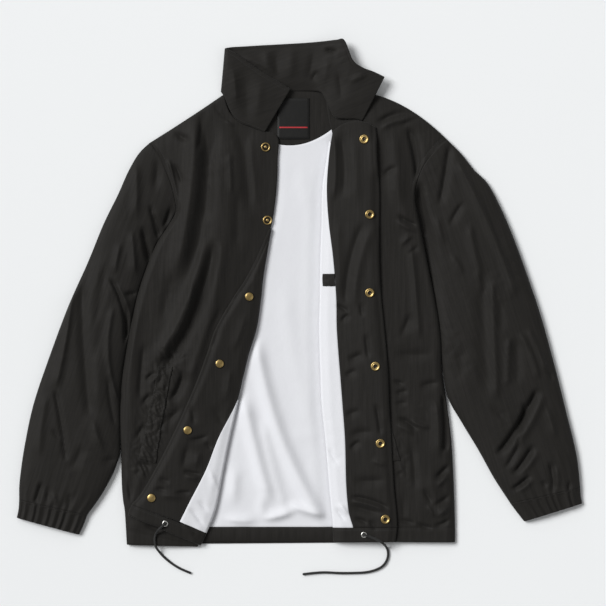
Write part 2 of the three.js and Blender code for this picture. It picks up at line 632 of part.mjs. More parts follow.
// What is turned back onto the fronts: columns crowd where the cloth wraps over the fold
function turnGrid(side, from, to, places, steps) {
  const { turn } = SIDES[side];
  return places.map((place) => {
    const fold = ruledPoint(turn, "fold", "edge", place, 0);
    const start = ruledPoint(turn, from, to, place, 0);
    const span = start.distanceTo(ruledPoint(turn, from, to, place, 1));
    const gone = start.distanceTo(fold);
    const wrapped = Math.max(WRAP_WIDTH - gone, span * 0.12);
    const crowded = [0, 0.12, 0.4].map((share) => (share * wrapped) / span);
    const acrosses = [...crowded, ...evenSteps(Math.min(wrapped / span, 0.6), 1, steps)];
    return acrosses.map((across) => turnSurface(side, from, to, place, across));
  });
}
const SEAM_PLACES = 0.014; // share of a row that leaves a seam gap between two pieces

function addTurned(name, side, from, to, places, steps, wall, finish) {
  const grid = turnGrid(side, from, to, places, steps);
  addPiece(name, sheet(grid, wall, REST_HEIGHT + LINING_WALL + SEAM_GAP), finish);
  return grid;
}
const facingRightPlaces = [0.15, 0.5, ...evenSteps(1, 10, 15), 10.5, HEM_ROW_RIGHT - SEAM_PLACES];
const facingLeftPlaces = [0, 0.5, ...evenSteps(1, 12, 17), 12.5, HEM_ROW_LEFT - SEAM_PLACES];
const turned = {};
turned.facing_right = addTurned("facing_right", "right", "seam", "edge", facingRightPlaces, 4, TURNED_WALL, BLACK_NYLON);
turned.facing_left = addTurned("facing_left", "left", "seam", "edge", facingLeftPlaces, 5, TURNED_WALL, BLACK_NYLON);
turned.hem_right = addTurned(
  "hem_casing_right", "right", "fold", "edge", evenSteps(HEM_ROW_RIGHT + SEAM_PLACES, 12, 2), 9, TURNED_WALL, BLACK_NYLON,
);
turned.hem_left = addTurned(
  "hem_casing_left", "left", "fold", "edge", evenSteps(HEM_ROW_LEFT + SEAM_PLACES, 14, 2), 8, TURNED_WALL, BLACK_NYLON,
);

// The lining strips stop a seam gap short of the facings
function addLiningStrip(name, side, places) {
  const rows = SIDES[side].turn.map((row) => ({ ...row, seam_x: row.seam_x - SIDES[side].towards * SEAM_GAP * 1.5 }));
  const grid = places.map((place) =>
    [0, 0.06, 0.2, 0.45, 0.72, 1].map((across) => {
      const from = ruledPoint(rows, "fold", "seam", place, 0);
      const to = ruledPoint(rows, "fold", "seam", place, 1);
      const at = from.lerp(to, across);
      const on = placeOn(SIDES[side].turn, "fold", "edge", at.x, at.y);
      return turnSurface(side, "fold", "edge", on.place, on.across);
    }),
  );
  addPiece(name, sheet(grid, LINING_WALL, REST_HEIGHT + LINING_WALL + SEAM_GAP), WHITE_LINING);
  return grid;
}
turned.lining_right = addLiningStrip("lining_right", "right", facingRightPlaces.filter((place) => place > 6.9));
turned.lining_left = addLiningStrip("lining_left", "left", facingLeftPlaces.filter((place) => place > 1));

// Welts: strips made from the points of the cloth under them, moved out
const WELT_LIFT = 0.7;
function addWelt(name, rows, under, wall) {
  const grid = evenSteps(0, rows.length - 1, 12).map((place) =>
    evenSteps(0, 1, 4).map((across) => {
      const at = ruledPoint(rows, "edge", "side", place, across);
      return new THREE.Vector3(at.x, at.y, heightOn(under, at.x, at.y) + WELT_LIFT + wall);
    }),
  );
  addPiece(name, sheet(grid, wall), BLACK_NYLON);
}
addWelt("pocket_welt_right", POCKET_WELT_RIGHT, frontGrids.right, SHELL_WALL);
addWelt("pocket_welt_left", POCKET_WELT_LEFT, frontGrids.left, TRIM_WALL);
addWelt("inner_pocket_welt", INNER_WELT, turned.lining_left, TRIM_WALL);

// The collar, from its right point round the neck to its left point
const collarGrid = evenSteps(0, COLLAR.length - 1, 38).map((place) =>
  evenSteps(0, 1, 6).map((across) => {
    const [neck, rim] = ["neck", "rim"].map(
      (name) => new THREE.Vector3(...["_x", "_y", "_z"].map((axis) => columnAt(COLLAR, name + axis, place))),
    );
    const point = neck.lerp(rim, across);
    point.z += columnAt(COLLAR, "arch", place) * 4 * across * (1 - across);
    return point;
  }),
);
addPiece("collar", sheet(collarGrid, COLLAR_WALL), BLACK_NYLON);

// Sleeves: each ring runs over the top from the inner fold to the outer one, then back along the surface
const RING_TOP = [0, 0.012, 0.05, 0.13, 0.26, 0.42, 0.58, 0.74, 0.87, 0.95, 0.988, 1];
const RING_UNDER = [0.985, 0.93, 0.78, 0.5, 0.22, 0.07, 0.015];
function ringPoint(rows, place, across, top, bulge = 0) {
  const at = ruledPoint(rows, "inner", "outer", place, across);
  const loft = columnAt(rows, "loft", place) - SLEEVE_FOLD_HEIGHT;
  const drop = SLEEVE_FOLD_HEIGHT * flatOval(across) ** 0.6;
  const height = top ? SLEEVE_FOLD_HEIGHT + loft * flatOval(across) + bulge : SLEEVE_FOLD_HEIGHT - drop;
  return new THREE.Vector3(at.x, at.y, height);
}

// How far the armhole lies from the straight line between the two ends of the sleeve's first row
function armholeShift(front, sleeve, away, across) {
  const seam = ruledPoint(front, "edge", "side", ARMPIT_ROW * (1 - across), 1);
  const straight = ruledPoint(sleeve, "inner", "outer", 0, across);
  return seam.sub(straight).addScaledVector(away, ARMHOLE_GAP);
}

function sleeveRings(side, rows, folds) {
  const front = SIDES[side].rows;
  const away = SIDES[side].away;
  return [0, 0.25, 0.6, ...evenSteps(1, rows.length - 1, 18)].map((place) => {
    const pull = smooth(1 - place / 2.5);
    const half = (acrosses, top) =>
      acrosses.map((across) => {
        const point = ringPoint(rows, place, across, top);
        const shift = armholeShift(front, rows, away, across);
        point.x += shift.x * pull;
        point.y += shift.y * pull;
        const body = smooth(place / 1.2) * flatOval(across) ** 2;
        if (top) point.z += foldHeight(folds, point.x, point.y) * body;
        return point;
      });
    return [...half(RING_TOP, true), ...half(RING_UNDER, false)];
  });
}
const sleeveRight = sleeveRings("right", SLEEVE_RIGHT, FOLDS_SLEEVE_RIGHT);
const sleeveLeft = sleeveRings("left", SLEEVE_LEFT, FOLDS_SLEEVE_LEFT);
addPiece("sleeve_right", tube(sleeveRight, SHELL_WALL), BLACK_NYLON);
addPiece("sleeve_left", tube(sleeveLeft, SHELL_WALL), BLACK_NYLON);

// Cuffs: every second point round the ring sinks between two gathers
function cuffRings(rows) {
  return [0, 0.35, 0.8, 1.3, 1.75, 2].map((place) => {
    const across = evenSteps(0, 1, CUFF_GATHERS);
    const over = across.map((share, n) => {
      const point = ringPoint(rows, place, share, true);
      if (n % 2) point.z -= CUFF_GATHER_DEPTH;
      return point;
    });
    const under = across.slice(1, -1).reverse().map((share, n) => {
      const point = ringPoint(rows, place, share, false);
      if (n % 2 === 0) point.z += CUFF_GATHER_DEPTH;
      return point;
    });
    return [...over, ...under];
  });
}
addPiece("cuff_right", tube(cuffRings(CUFF_RIGHT), SHELL_WALL), BLACK_NYLON);
addPiece("cuff_left", tube(cuffRings(CUFF_LEFT), SHELL_WALL), BLACK_NYLON);

// Turned metal parts, by their half sections: radius and height above the cloth
const SOCKET_SECTION = [[0, 0], [7.4, 0], [7.2, 1.3], [5.8, 1.9], [4.4, 1.2], [3.4, 0.5], [0, 0.5]];
const STUD_SECTION = [[0, 0], [7.4, 0], [7.2, 1.1], [5, 1.3], [4, 0.8], [2.5, 0.9], [2.3, 3.2], [1.5, 3.8], [0, 3.9]];
const BACK_SECTION = [[0, 0], [7.4, 0], [7.4, 0.6], [6.6, 1.1], [0, 1.3]];
const EYELET_SECTION = [[2.4, 0], [4.7, 0], [4.8, 0.5], [3.7, 1], [2.6, 0.7], [2.4, 0]];
const METAL_SIDES = 12;
const METAL_REACH = 7; // the cloth is felt for this far round a snap to seat it

// Set on a piece's top: as high and as tilted as the cloth round it
function addMetal(name, section, at, grid, finish) {
  const profile = section.map(([radius, height]) => new THREE.Vector2(radius, height));
  const geometry = new THREE.LatheGeometry(profile, METAL_SIDES).rotateX(Math.PI / 2);
  const height = (dx, dy) => heightOn(grid, at.x + dx, at.y + dy);
  const slopeX = (height(METAL_REACH, 0) - height(-METAL_REACH, 0)) / (2 * METAL_REACH);
  const slopeY = (height(0, METAL_REACH) - height(0, -METAL_REACH)) / (2 * METAL_REACH);
  const middle = (height(METAL_REACH, 0) + height(-METAL_REACH, 0)) / 2;
  const normal = new THREE.Vector3(-slopeX, -slopeY, 1).normalize();
  const mesh = addPiece(name, geometry, finish);
  mesh.quaternion.setFromUnitVectors(new THREE.Vector3(0, 0, 1), normal);
  mesh.position.set(at.x, at.y, Math.max(middle, height(0, 0)) + 0.45);
  return mesh.position.z;
}
SOCKETS.forEach((at, n) => addMetal(`snap_socket_${n + 1}`, SOCKET_SECTION, at, turned.facing_left, OLD_BRASS));
STUDS.forEach((at, n) => addMetal(`snap_stud_${n + 1}`, STUD_SECTION, at, frontGrids.right, OLD_BRASS));
SNAP_BACKS.forEach((at, n) => addMetal(`snap_back_${n + 1}`, BACK_SECTION, at, turned.facing_right, OLD_BRASS));
const eyeletHeights = {
  right: addMetal("eyelet_right", EYELET_SECTION, EYELETS.right, turned.hem_right, NICKEL),
  left: addMetal("eyelet_left", EYELET_SECTION, EYELETS.left, turned.hem_left, NICKEL),
};

// The drawcord's two ends come up through the eyelets, bend over the hem and lie out on the surface
const CORD_SAMPLE = 2; // millimetres between the points where the cord feels for what lies under it
const CORD_TURN = THREE.MathUtils.degToRad(13);
const CORD_STRIDE = 9;
const CORD_LIFT = CORD_RADIUS + 0.5;

function cordPath(places, eyeletHeight, grids) {
  const flat = new THREE.CatmullRomCurve3(places.map(([x, y]) => new THREE.Vector3(x, y, 0)), false, "centripetal");
  const points = flat.getSpacedPoints(Math.round(flat.getLength() / CORD_SAMPLE));
  const cover = points.map((point) => {
    const feel = [[0, 0], [2.6, 0], [-2.6, 0], [0, 2.6], [0, -2.6]];
    return Math.max(...feel.flatMap(([dx, dy]) => grids.map((grid) => heightOn(grid, point.x + dx, point.y + dy, true))));
  });
  const near = (list, n, reach) => list.slice(Math.max(n - reach, 0), n + reach + 1);
  const highest = cover.map((_, n) => Math.max(...near(cover, n, 2)));
  points.forEach((point, n) => {
    const around = near(highest, n, 2);
    point.z = around.reduce((sum, value) => sum + value, 0) / around.length + CORD_LIFT;
  });
  const [exit, first] = [points[0], points[2]];
  const lean = new THREE.Vector3(first.x - exit.x, first.y - exit.y, 0).normalize();
  const bend = [[0, 0.3], [0.15, 1.5], [1.3, 2.9]].map(([out, up]) =>
    exit.clone().addScaledVector(lean, out).setZ(eyeletHeight + up),
  );
  for (const point of points.slice(2, 5)) point.z = Math.max(point.z, eyeletHeight + 3.9);
  return [...bend, ...points.slice(2)];
}

// A round solid along a path, with a ring wherever the path has turned or run far enough
function cordGeometry(path) {
  const stations = [path[0]];
  const heading = (n) => path[Math.min(n + 1, path.length - 1)].clone().sub(path[Math.max(n - 1, 0)]).normalize();
  let last = 0;
  for (let n = 1; n < path.length; n++) {
    const turned = heading(n).angleTo(heading(last)) > CORD_TURN;
    if (!turned && path[n].distanceTo(path[last]) < CORD_STRIDE && n < path.length - 1) continue;
    stations.push(path[n]);
    last = n;
  }
  const points = [];
  let side = new THREE.Vector3(1, 0, 0);
  stations.forEach((station, n) => {
    const before = stations[Math.max(n - 1, 0)];
    const after = stations[Math.min(n + 1, stations.length - 1)];
    const along = n === 0 ? new THREE.Vector3(0, 0, 1) : after.clone().sub(before).normalize();
    side = side.clone().addScaledVector(along, -side.dot(along)).normalize();
    const other = along.clone().cross(side);
    for (let turn = 0; turn < CORD_SIDES; turn++) {
      const angle = (2 * Math.PI * turn) / CORD_SIDES;
      const across = side.clone().multiplyScalar(Math.cos(angle)).addScaledVector(other, Math.sin(angle));
      points.push(station.clone().addScaledVector(across, CORD_RADIUS));
    }
  });
  const at = (ring, turn) => ring * CORD_SIDES + (turn % CORD_SIDES);
  const end = (stations.length - 1) * CORD_SIDES;
  const quads = [];
  for (let ring = 0; ring < stations.length - 1; ring++)
    for (let turn = 0; turn < CORD_SIDES; turn++)
      quads.push([at(ring, turn), at(ring, turn + 1), at(ring + 1, turn + 1), at(ring + 1, turn)]);
  for (let turn = 1; turn < CORD_SIDES - 1; turn += 2) {
    quads.push([0, turn + 2, turn + 1, turn]);
    quads.push([end, end + turn, end + turn + 1, end + turn + 2]);
  }
  return closedGeometry(points, quads);
}
const pathRight = cordPath(CORD_RIGHT, eyeletHeights.right, [turned.hem_right, frontGrids.right]);
const pathLeft = cordPath(CORD_LEFT, eyeletHeights.left, [turned.hem_left, frontGrids.left]);
addPiece("cord_right", cordGeometry(pathRight), BLACK_CORD);
addPiece("cord_left", cordGeometry(pathLeft), BLACK_CORD);

export default group;
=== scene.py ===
"""The looks of a coach jacket laid open on a white surface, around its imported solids."""

import math
from functools import partial

import bmesh
import bpy
import numpy as np
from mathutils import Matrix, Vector


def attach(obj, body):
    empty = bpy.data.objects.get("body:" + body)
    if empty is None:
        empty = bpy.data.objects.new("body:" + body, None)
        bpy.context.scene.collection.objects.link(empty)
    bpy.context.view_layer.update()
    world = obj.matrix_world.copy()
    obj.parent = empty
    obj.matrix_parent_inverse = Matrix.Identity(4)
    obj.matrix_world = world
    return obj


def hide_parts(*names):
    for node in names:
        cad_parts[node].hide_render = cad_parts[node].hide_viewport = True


# Driving sizes, in millimetres from the nape: x to the wearer's left, y towards the collar, z up
SHELL_WALL = 1.2
LINING_WALL = 1.0
TURNED_WALL = 2.0
COLLAR_WALL = 1.8
TRIM_WALL = 0.8
SEAM_GAP = 0.3
ARMHOLE_GAP = 0.45
PARTED_GAP = 1.0
TURN_CLEARANCE = 2.2
TURN_SWELL = 3.2
STITCH_INSET = 5.5
STITCH_DIP = 0.5
CASING_DEPTH = 22
REST_HEIGHT = SHELL_WALL + SEAM_GAP
OPENING_HEIGHT = 6.5
LEAST_HEIGHT = 5.6
SIDE_SEAM_HEIGHT = 2.9
CUFF_PLEATS = 9
CUFF_PLEAT_DEPTH = 3.0
SIDE_ROUND = 15
ARMHOLE_ROUND = 12
ROLL_WIDTH = 6
SHOULDER_ROUND = 22
ARMHOLE_LOFT = 12
SLEEVE_FOLD_HEIGHT = 3.2
ARMPIT_ROW = 5
WRAP_WIDTH = 3
CORD_RADIUS = 1.9
EDGE_FADE = 9
TURN_FADE = 16
PUCKER_REACH = 22
FRONT_WIDTH = 210
LEAST_PANEL_WIDTH = 150
SLEEVE_TOP = 150
SLEEVE_UNDERSIDE = 90
CUFF_WIDTH = 130
CUFF_LENGTH = 30
COLLAR_LENGTH = 330
COLLAR_DEPTH = 80
WELT_WIDTH = 24
CASING_WIDTH = 115
STRIP_WIDTH = 30
FOOTPRINT_MIDDLE = (-0.8, -323.2)
OVAL_POWER = 3.2
RIM_BULGE = 0.45  # how far a cloth's rounded edge stands out, as a share of its wall
HALVINGS = 22
TRACE_STEPS = 800
GRAIN = 2.0  # distance between the points of a cloth, in millimetres
SEED = 11  # each noise adds a number of its own to it


def table(columns, rows):
    """Named columns of numbers, from one row for each section or fold."""
    return dict(zip(columns.split(), np.array(rows, float).T))


FRONT_RIGHT = table("edge_x edge_y side_x side_y bow crown", [
    [-122, -6, -240, -83, -1, 8],
    [-113, -34, -227, -101, 4, 10],
    [-94, -52, -216, -123, 0, 12],
    [-66, -63, -206, -149, 0, 13],
    [-37, -73, -200, -174, 0, 14],
    [-36, -110, -198, -194, 0, 15],
    [-38, -158, -211, -218, 0, 16],
    [-45, -210, -227, -243, 0, 16],
    [-60, -267, -242, -278, 0, 16],
    [-66, -331, -258, -326, 0, 16],
    [-73, -379, -270, -382, 0, 16],
    [-91, -443, -282, -450, 0, 15],
    [-105, -499, -286, -498, 0, 14],
    [-116, -555, -286, -542, 0, 13],
    [-127, -610, -286, -584, 0, 12],
    [-138, -667, -285, -629, 0, 11],
    [-153, -707, -283, -654, 0, 11],
    [-162, -724, -280, -675, 0, 10],
    [-164, -728, -277, -725, 0, 10],
])
FRONT_LEFT = table("edge_x edge_y side_x side_y bow crown", [
    [42, -6, 235, -78, 30, 8],
    [43, -21, 221, -90, 18, 10],
    [45, -37, 206, -107, 8, 12],
    [48, -54, 194, -126, 2, 13],
    [52, -72, 186, -149, 0, 14],
    [46, -110, 182, -174, 0, 15],
    [39, -158, 187, -203, 0, 16],
    [38, -210, 194, -238, 0, 16],
    [36, -267, 203, -283, 0, 16],
    [35, -331, 214, -338, 0, 16],
    [34, -382, 221, -382, 0, 16],
    [36, -450, 227, -446, 0, 15],
    [38, -502, 234, -494, 0, 14],
    [44, -558, 242, -558, 0, 13],
    [50, -630, 246, -630, 0, 12],
    [56, -698, 248, -698, 0, 10],
    [57, -720, 248, -721, 0, 10],
])
SLEEVE_RIGHT = table("inner_x inner_y outer_x outer_y loft", [
    [-198, -194, -240, -83, 12],
    [-209, -213, -258, -101, 13],
    [-229, -243, -275, -130, 15],
    [-244, -278, -291, -166, 17],
    [-260, -326, -314, -213, 18],
    [-272, -382, -339, -274, 19],
    [-284, -450, -371, -346, 20],
    [-288, -510, -403, -432, 20],
    [-289, -566, -426, -501, 19],
    [-294, -600, -440, -566, 18],
    [-315, -642, -448, -622, 17],
    [-340, -678, -449, -653, 15],
])
SLEEVE_LEFT = table("inner_x inner_y outer_x outer_y loft", [
    [182, -174, 235, -78, 12],
    [187, -197, 258, -101, 13],
    [194, -229, 278, -126, 15],
    [204, -274, 299, -147, 17],
    [213, -322, 318, -181, 18],
    [223, -382, 339, -229, 19],
    [229, -443, 363, -294, 20],
    [237, -491, 386, -363, 20],
    [259, -531, 408, -443, 19],
    [285, -574, 426, -515, 18],
    [310, -619, 442, -582, 17],
    [336, -659, 448, -634, 15],
])
CUFF_RIGHT = table("inner_x inner_y outer_x outer_y loft", [
    [-340.1, -678.4, -449.1, -653.4, 15],
    [-346, -694, -450, -668, 13],
    [-353, -709, -452.8, -682, 12],
])
CUFF_LEFT = table("inner_x inner_y outer_x outer_y loft", [
    [336.1, -659.4, 448.1, -634.4, 15],
    [347, -674, 449, -648, 13],
    [358, -688, 451.2, -659, 12],
])
TURN_RIGHT = table("fold_x fold_y seam_x seam_y edge_x edge_y bow", [
    [-45.5, -221, -45.5, -221, -49, -222, 0],
    [-53.5, -267, -53.5, -267, -70, -270, 0],
    [-59, -302, -59, -302, -88, -304, 0],
    [-62, -331, -62, -331, -104, -328, 0],
    [-69, -379, -69, -379, -133, -378, 0],
    [-82, -422, -82, -422, -147, -418, 0],
    [-91, -459, -91, -459, -162, -459, 0],
    [-99, -499, -102, -499, -179, -499, 0],
    [-112, -555, -130, -554, -202, -549, 0],
    [-123, -610, -150, -605, -227, -598, 0],
    [-134, -667, -176, -656, -253, -643, 0],
    [-149, -707, -192, -688, -268, -661, 0],
    [-158, -726, -202, -707, -274, -677, 0],
])
TURN_LEFT = table("fold_x fold_y seam_x seam_y edge_x edge_y bow", [
    [48, -64, 53, -64, 120, -59, 12],
    [46, -80, 50, -80, 122, -79, 5],
    [42, -110, 46, -110, 123, -110, 0],
    [35, -158, 43, -158, 126, -158, 0],
    [34, -210, 46, -210, 126, -210, 0],
    [32, -267, 53, -267, 126, -267, 0],
    [31, -331, 58, -331, 129, -331, 0],
    [30, -382, 59, -382, 134, -382, 0],
    [32, -450, 64, -450, 140, -450, 0],
    [34, -502, 68, -502, 142, -502, 0],
    [40, -558, 72, -558, 145, -558, 0],
    [46, -630, 74, -630, 149, -630, 0],
    [50, -672, 78, -672, 153, -672, 0],
    [52, -698, 85, -698, 154, -698, 0],
    [53, -720, 87, -720, 151, -720, 0],
])
LINING_BACK = table("edge_x edge_y side_x side_y bow", [
    [-96, -50, 61, -53, -36],
    [-96, -70, 74, -75, -26],
    [-96, -110, 83, -114, -12],
    [-99, -158, 80, -158, -4],
    [-109, -210, 77, -210, 0],
    [-118, -267, 74, -267, 0],
    [-128, -334, 74, -334, 0],
    [-141, -406, 74, -406, 0],
    [-154, -470, 77, -470, 0],
    [-166, -534, 83, -534, 0],
    [-179, -598, 90, -598, 0],
    [-192, -654, 96, -654, 0],
    [-205, -697, 99, -697, 0],
])
NECK_FACING = table("edge_x edge_y side_x side_y bow", [
    [-112, -6, 38, -5, 5.5],
    [-103, -29, 50, -30, -10],
    [-96, -49.6, 61, -52.6, -36],
])
HEM_CASING = table("edge_x edge_y side_x side_y bow", [
    [-205, -697.4, 99, -697.4, 0],
    [-206, -709, 99, -709, 0],
    [-207, -720.5, 99, -720.5, 0],
])
COLLAR = table("neck_x neck_y neck_z rim_x rim_y rim_z arch", [
    [-56.7, -65.4, 8.6, -16, 2, 12.5, 1],
    [-66, -62.2, 8.6, -34, 13, 12.5, 2],
    [-80, -56.6, 8.6, -59, 28, 13, 3],
    [-93.6, -51.3, 8.6, -84, 45, 13.5, 4],
    [-105, -42.5, 8.6, -101, 57, 14, 4],
    [-113, -30, 8.6, -111, 63, 14, 4],
    [-121, -10, 8.6, -117, 66, 13, 3],
    [-126.5, -1, 5.6, -120, 67, 9, 0],
    [-121, 0.5, 1.8, -110, 69, 3.5, 2],
    [-104, 0.5, 1.7, -93, 70, 2.6, 2],
    [-72, 0.5, 1.7, -60, 72, 2.4, 3],
    [-34, 0.5, 1.7, -22, 74, 3, 4],
    [0, 0.5, 1.8, 13, 76, 5, 4],
    [22, 0.5, 3.2, 38, 78, 9, 3],
    [35, -3, 6.8, 58, 80, 14, 2],
    [44, -20, 9.4, 71, 79, 18, 1],
    [55, -41, 10.4, 84, 48, 19, 1],
    [72, -44.4, 10.6, 99, 36, 18.5, 2],
    [87, -44.6, 10.6, 117, 29, 18, 2],
    [99, -47.6, 10.6, 134, 21, 17.5, 1],
])
POCKET_WELT_RIGHT = table("edge_x edge_y side_x side_y bow", [
    [-204, -441, -226, -440, 0],
    [-218, -518, -241, -514, 0],
    [-231, -595, -257, -587, 0],
])
POCKET_WELT_LEFT = table("edge_x edge_y side_x side_y bow", [
    [99, -440, 120, -440, 0],
    [117, -516, 140, -514, 0],
    [135, -593, 160, -590, 0],
])
INNER_WELT = table("edge_x edge_y side_x side_y bow", [
    [36.5, -293, 55.4, -293, 0],
    [36.5, -312, 56.4, -312, 0],
])
LABEL = {
    "left": -36, "right": 15, "top": -12, "bottom": -77,
    "bar_top": -57.5, "bar_bottom": -59.5, "bar_inset": 3, "bar_lift": 0.45, "bar_wall": 0.25,
}
CORD_RIGHT = [
    [-215, -691], [-219, -694.5], [-225.5, -701], [-230.5, -709], [-232, -718], [-230, -728], [-225, -737],
    [-218, -745], [-208, -753.5], [-197, -761], [-186, -766.5], [-175, -771],
]
CORD_LEFT = [
    [102, -709], [109, -711], [120, -715], [130, -720.5], [137, -728], [140.5, -736], [140.5, -745],
    [137, -754], [130, -761.5], [118, -767], [104, -770], [84, -771], [62, -771], [40, -770], [22, -771],
    [5, -773],
]
SOCKETS = [[102, -78], [111, -198], [111, -323], [120, -440], [128, -563], [136, -684]]
STUDS = [[-55, -90], [-52, -207]]
SNAP_BACKS = [[-81, -329], [-128, -436], [-179, -542], [-237, -650]]
EYELETS = {"right": [-215, -691], "left": [102, -709]}

# Soft folds: ridges or, where height is negative, troughs, from one end to the other, in millimetres.
# Bend carries the middle of a fold to its side. The largest follow those of the solids.
FOLD_FADE = 4.5  # how many of its own widths a fold takes to die out
LONGEST_FADE = 0.42  # the largest share of its length over which a fold dies out
SOFT_FOLD = 9  # from this width on, a fold is soft all over
CRISP_RANGE = 5  # how much narrower than that a fold is when it is fully crisp
CRISP_GAIN = 0.8
FOLD_SKEW = 0.35
LIGHT_FROM = (-0.88, 0.48)  # the steep side of a fold faces away from here
FOLD_COLUMNS = "start_x start_y end_x end_y bend width height"
FOLDS_RIGHT = table(FOLD_COLUMNS, [
    [-166, -34, -202, -310, 9, 12, 10],
    [-146, -30, -178, -310, 12, 12, -10],
    [-156, -26, -163, -100, 1, 4, -2.6],
    [-152, -226, -236, -440, 15, 9, 8],
    [-136, -232, -222, -452, 14, 8, -9.5],
    [-124, -226, -176, -470, 10, 9, 4],
    [-96, -30, -80, -206, 2, 9, -5],
    [-84, -60, -70, -190, 2, 6, 1.6],
    [-99, -150, -101, -262, 0, 7, -2.5],
    [-262, -330, -270, -560, -3, 9, 3],
    [-252, -600, -262, -716, 2, 9, 3],
    [-140, -70, -136, -200, 2, 12, 3],
    [-210, -108, -196, -194, 3, 3, 2.6],
    [-202, -116, -188, -152, 2, 3, -2],
    [-202, -64, -172, -80, -3, 5, -3],
    [-138, -14, -106, -54, -5, 3.5, -2.4],
    [-132, -22, -104, -58, -4, 3, 1.8],
    [-122, -10, -100, -38, 3, 3, -1.8],
    [-112, -96, -109, -170, 0, 4, 1.5],
    [-146, -190, -158, -250, 0, 7, 3],
    [-170, -300, -206, -404, 8, 5, 2.5],
    [-204, -290, -226, -380, 2, 8, -3],
    [-128, -346, -150, -420, 2, 5, -3],
    [-248, -400, -256, -500, -2, 5, -2.5],
    [-248, -464, -230, -448, 1, 3, -2.4],
    [-238, -470, -226, -452, 0, 3, 2],
    [-187, -442, -212, -500, 6, 5, -5],
    [-180, -504, -216, -534, -2, 6, -4],
    [-252, -504, -236, -482, 2, 4, -3],
    [-262, -560, -246, -530, 2, 4, -2.5],
    [-160, -440, -156, -500, 3, 4, -2],
    [-168, -430, -166, -500, 2, 5, 2.5],
    [-200, -540, -190, -600, 0, 5, -3],
    [-250, -690, -214, -704, -2, 4, -2.4],
    [-262, -596, -232, -600, 0, 4, -2.4],
    [-276, -620, -268, -690, 2, 4, -2],
])
FOLDS_LEFT = table(FOLD_COLUMNS, [
    [172, -56, 188, -152, 4, 5, -7],
    [150, -50, 162, -190, -2, 10, 4],
    [138, -120, 176, -230, 3, 10, 3],
    [154, -198, 190, -216, -2, 3, -3],
    [150, -206, 188, -226, -2, 4, 2],
    [142, -420, 216, -420, -2, 7, -3],
    [228, -484, 232, -580, 2, 5, -4],
    [210, -590, 236, -700, -8, 9, 4],
    [184, -560, 196, -700, 4, 12, 3],
    [116, -60, 188, -36, 10, 4, -3.4],
    [120, -68, 184, -48, 8, 5, 2.5],
    [158, -56, 198, -42, 2, 3, -1.5],
    [128, -138, 158, -120, 2, 4, -2.2],
    [160, -250, 182, -230, 2, 3.5, 2],
    [170, -262, 190, -246, -1, 3, -1.6],
    [178, -352, 160, -396, 0, 5, -2.4],
    [176, -240, 190, -400, 2, 5, 2],
    [146, -463, 168, -469, 0, 3, -2.4],
    [150, -484, 174, -478, 0, 3, -2],
    [188, -474, 226, -466, 2, 5, -2.6],
    [150, -500, 172, -498, 0, 3, -1.8],
    [154, -522, 190, -544, 3, 3.5, -3.4],
    [172, -526, 210, -538, -2, 3, 2.4],
    [152, -534, 184, -552, 3, 4, 2],
    [227, -482, 229, -580, 4, 3.5, -5],
    [216, -490, 220, -590, 3, 6, 3],
    [241, -594, 214, -622, 0, 4, -4],
    [238, -612, 216, -636, 0, 4, 2.5],
    [148, -618, 166, -606, 0, 3, -2.6],
    [146, -682, 186, -692, 0, 3.5, -2.6],
    [186, -690, 214, -698, -2, 3, -3],
    [212, -696, 242, -682, -2, 3, -3],
    [196, -634, 212, -662, 0, 4, -2.4],
    [210, -664, 242, -642, -2, 4, -2.8],
    [202, -660, 216, -682, 0, 3, 2],
    [214, -682, 242, -660, -2, 4, 2.4],
    [176, -560, 184, -640, 2, 5, -2],
    [160, -640, 166, -690, 0, 5, -2],
])
FOLDS_SLEEVE_RIGHT = table(FOLD_COLUMNS, [
    [-348, -300, -334, -530, -4, 7, -4],
    [-362, -306, -390, -478, 4, 5, 3.4],
    [-322, -236, -354, -366, -2, 9, -3],
    [-318, -400, -322, -520, -2, 9, 3],
    [-304, -298, -278, -400, 8, 3, -3.6],
    [-296, -306, -270, -372, 6, 4, 2],
    [-282, -326, -258, -323, 0, 4, -3.4],
    [-276, -338, -280, -410, 0, 4, -3],
    [-296, -342, -288, -500, -13, 4, 2.2],
    [-222, -92, -234, -164, 0, 6, -3.4],
    [-262, -112, -262, -210, 2, 6, 3],
    [-240, -180, -225, -240, -1, 3, -3],
    [-236, -196, -221, -234, 1, 2.6, -2.4],
    [-206, -182, -220, -222, 1, 3.5, -3],
    [-252, -214, -238, -282, -2, 4.5, -6],
    [-268, -220, -262, -300, 0, 5, 3],
    [-392, -476, -374, -594, 2, 3, -3],
    [-380, -560, -396, -538, 1, 3, -1.8],
    [-318, -592, -288, -588, 0, 6, -2.6],
    [-426, -664, -412, -622, 0, 3, -3.4],
    [-404, -660, -402, -628, 0, 3, -2],
    [-388, -664, -392, -640, 0, 3, 2],
    [-372, -668, -366, -640, 0, 3, -2],
    [-310, -270, -330, -380, 3, 7, -2],
    [-344, -560, -372, -610, 3, 6, -2.2],
    [-330, -520, -312, -580, -2, 5, 2.4],
    [-402, -480, -416, -590, -3, 6, 2.2],
    [-286, -240, -296, -296, 0, 4, 2],
    [-306, -450, -294, -540, -3, 4, -2],
])
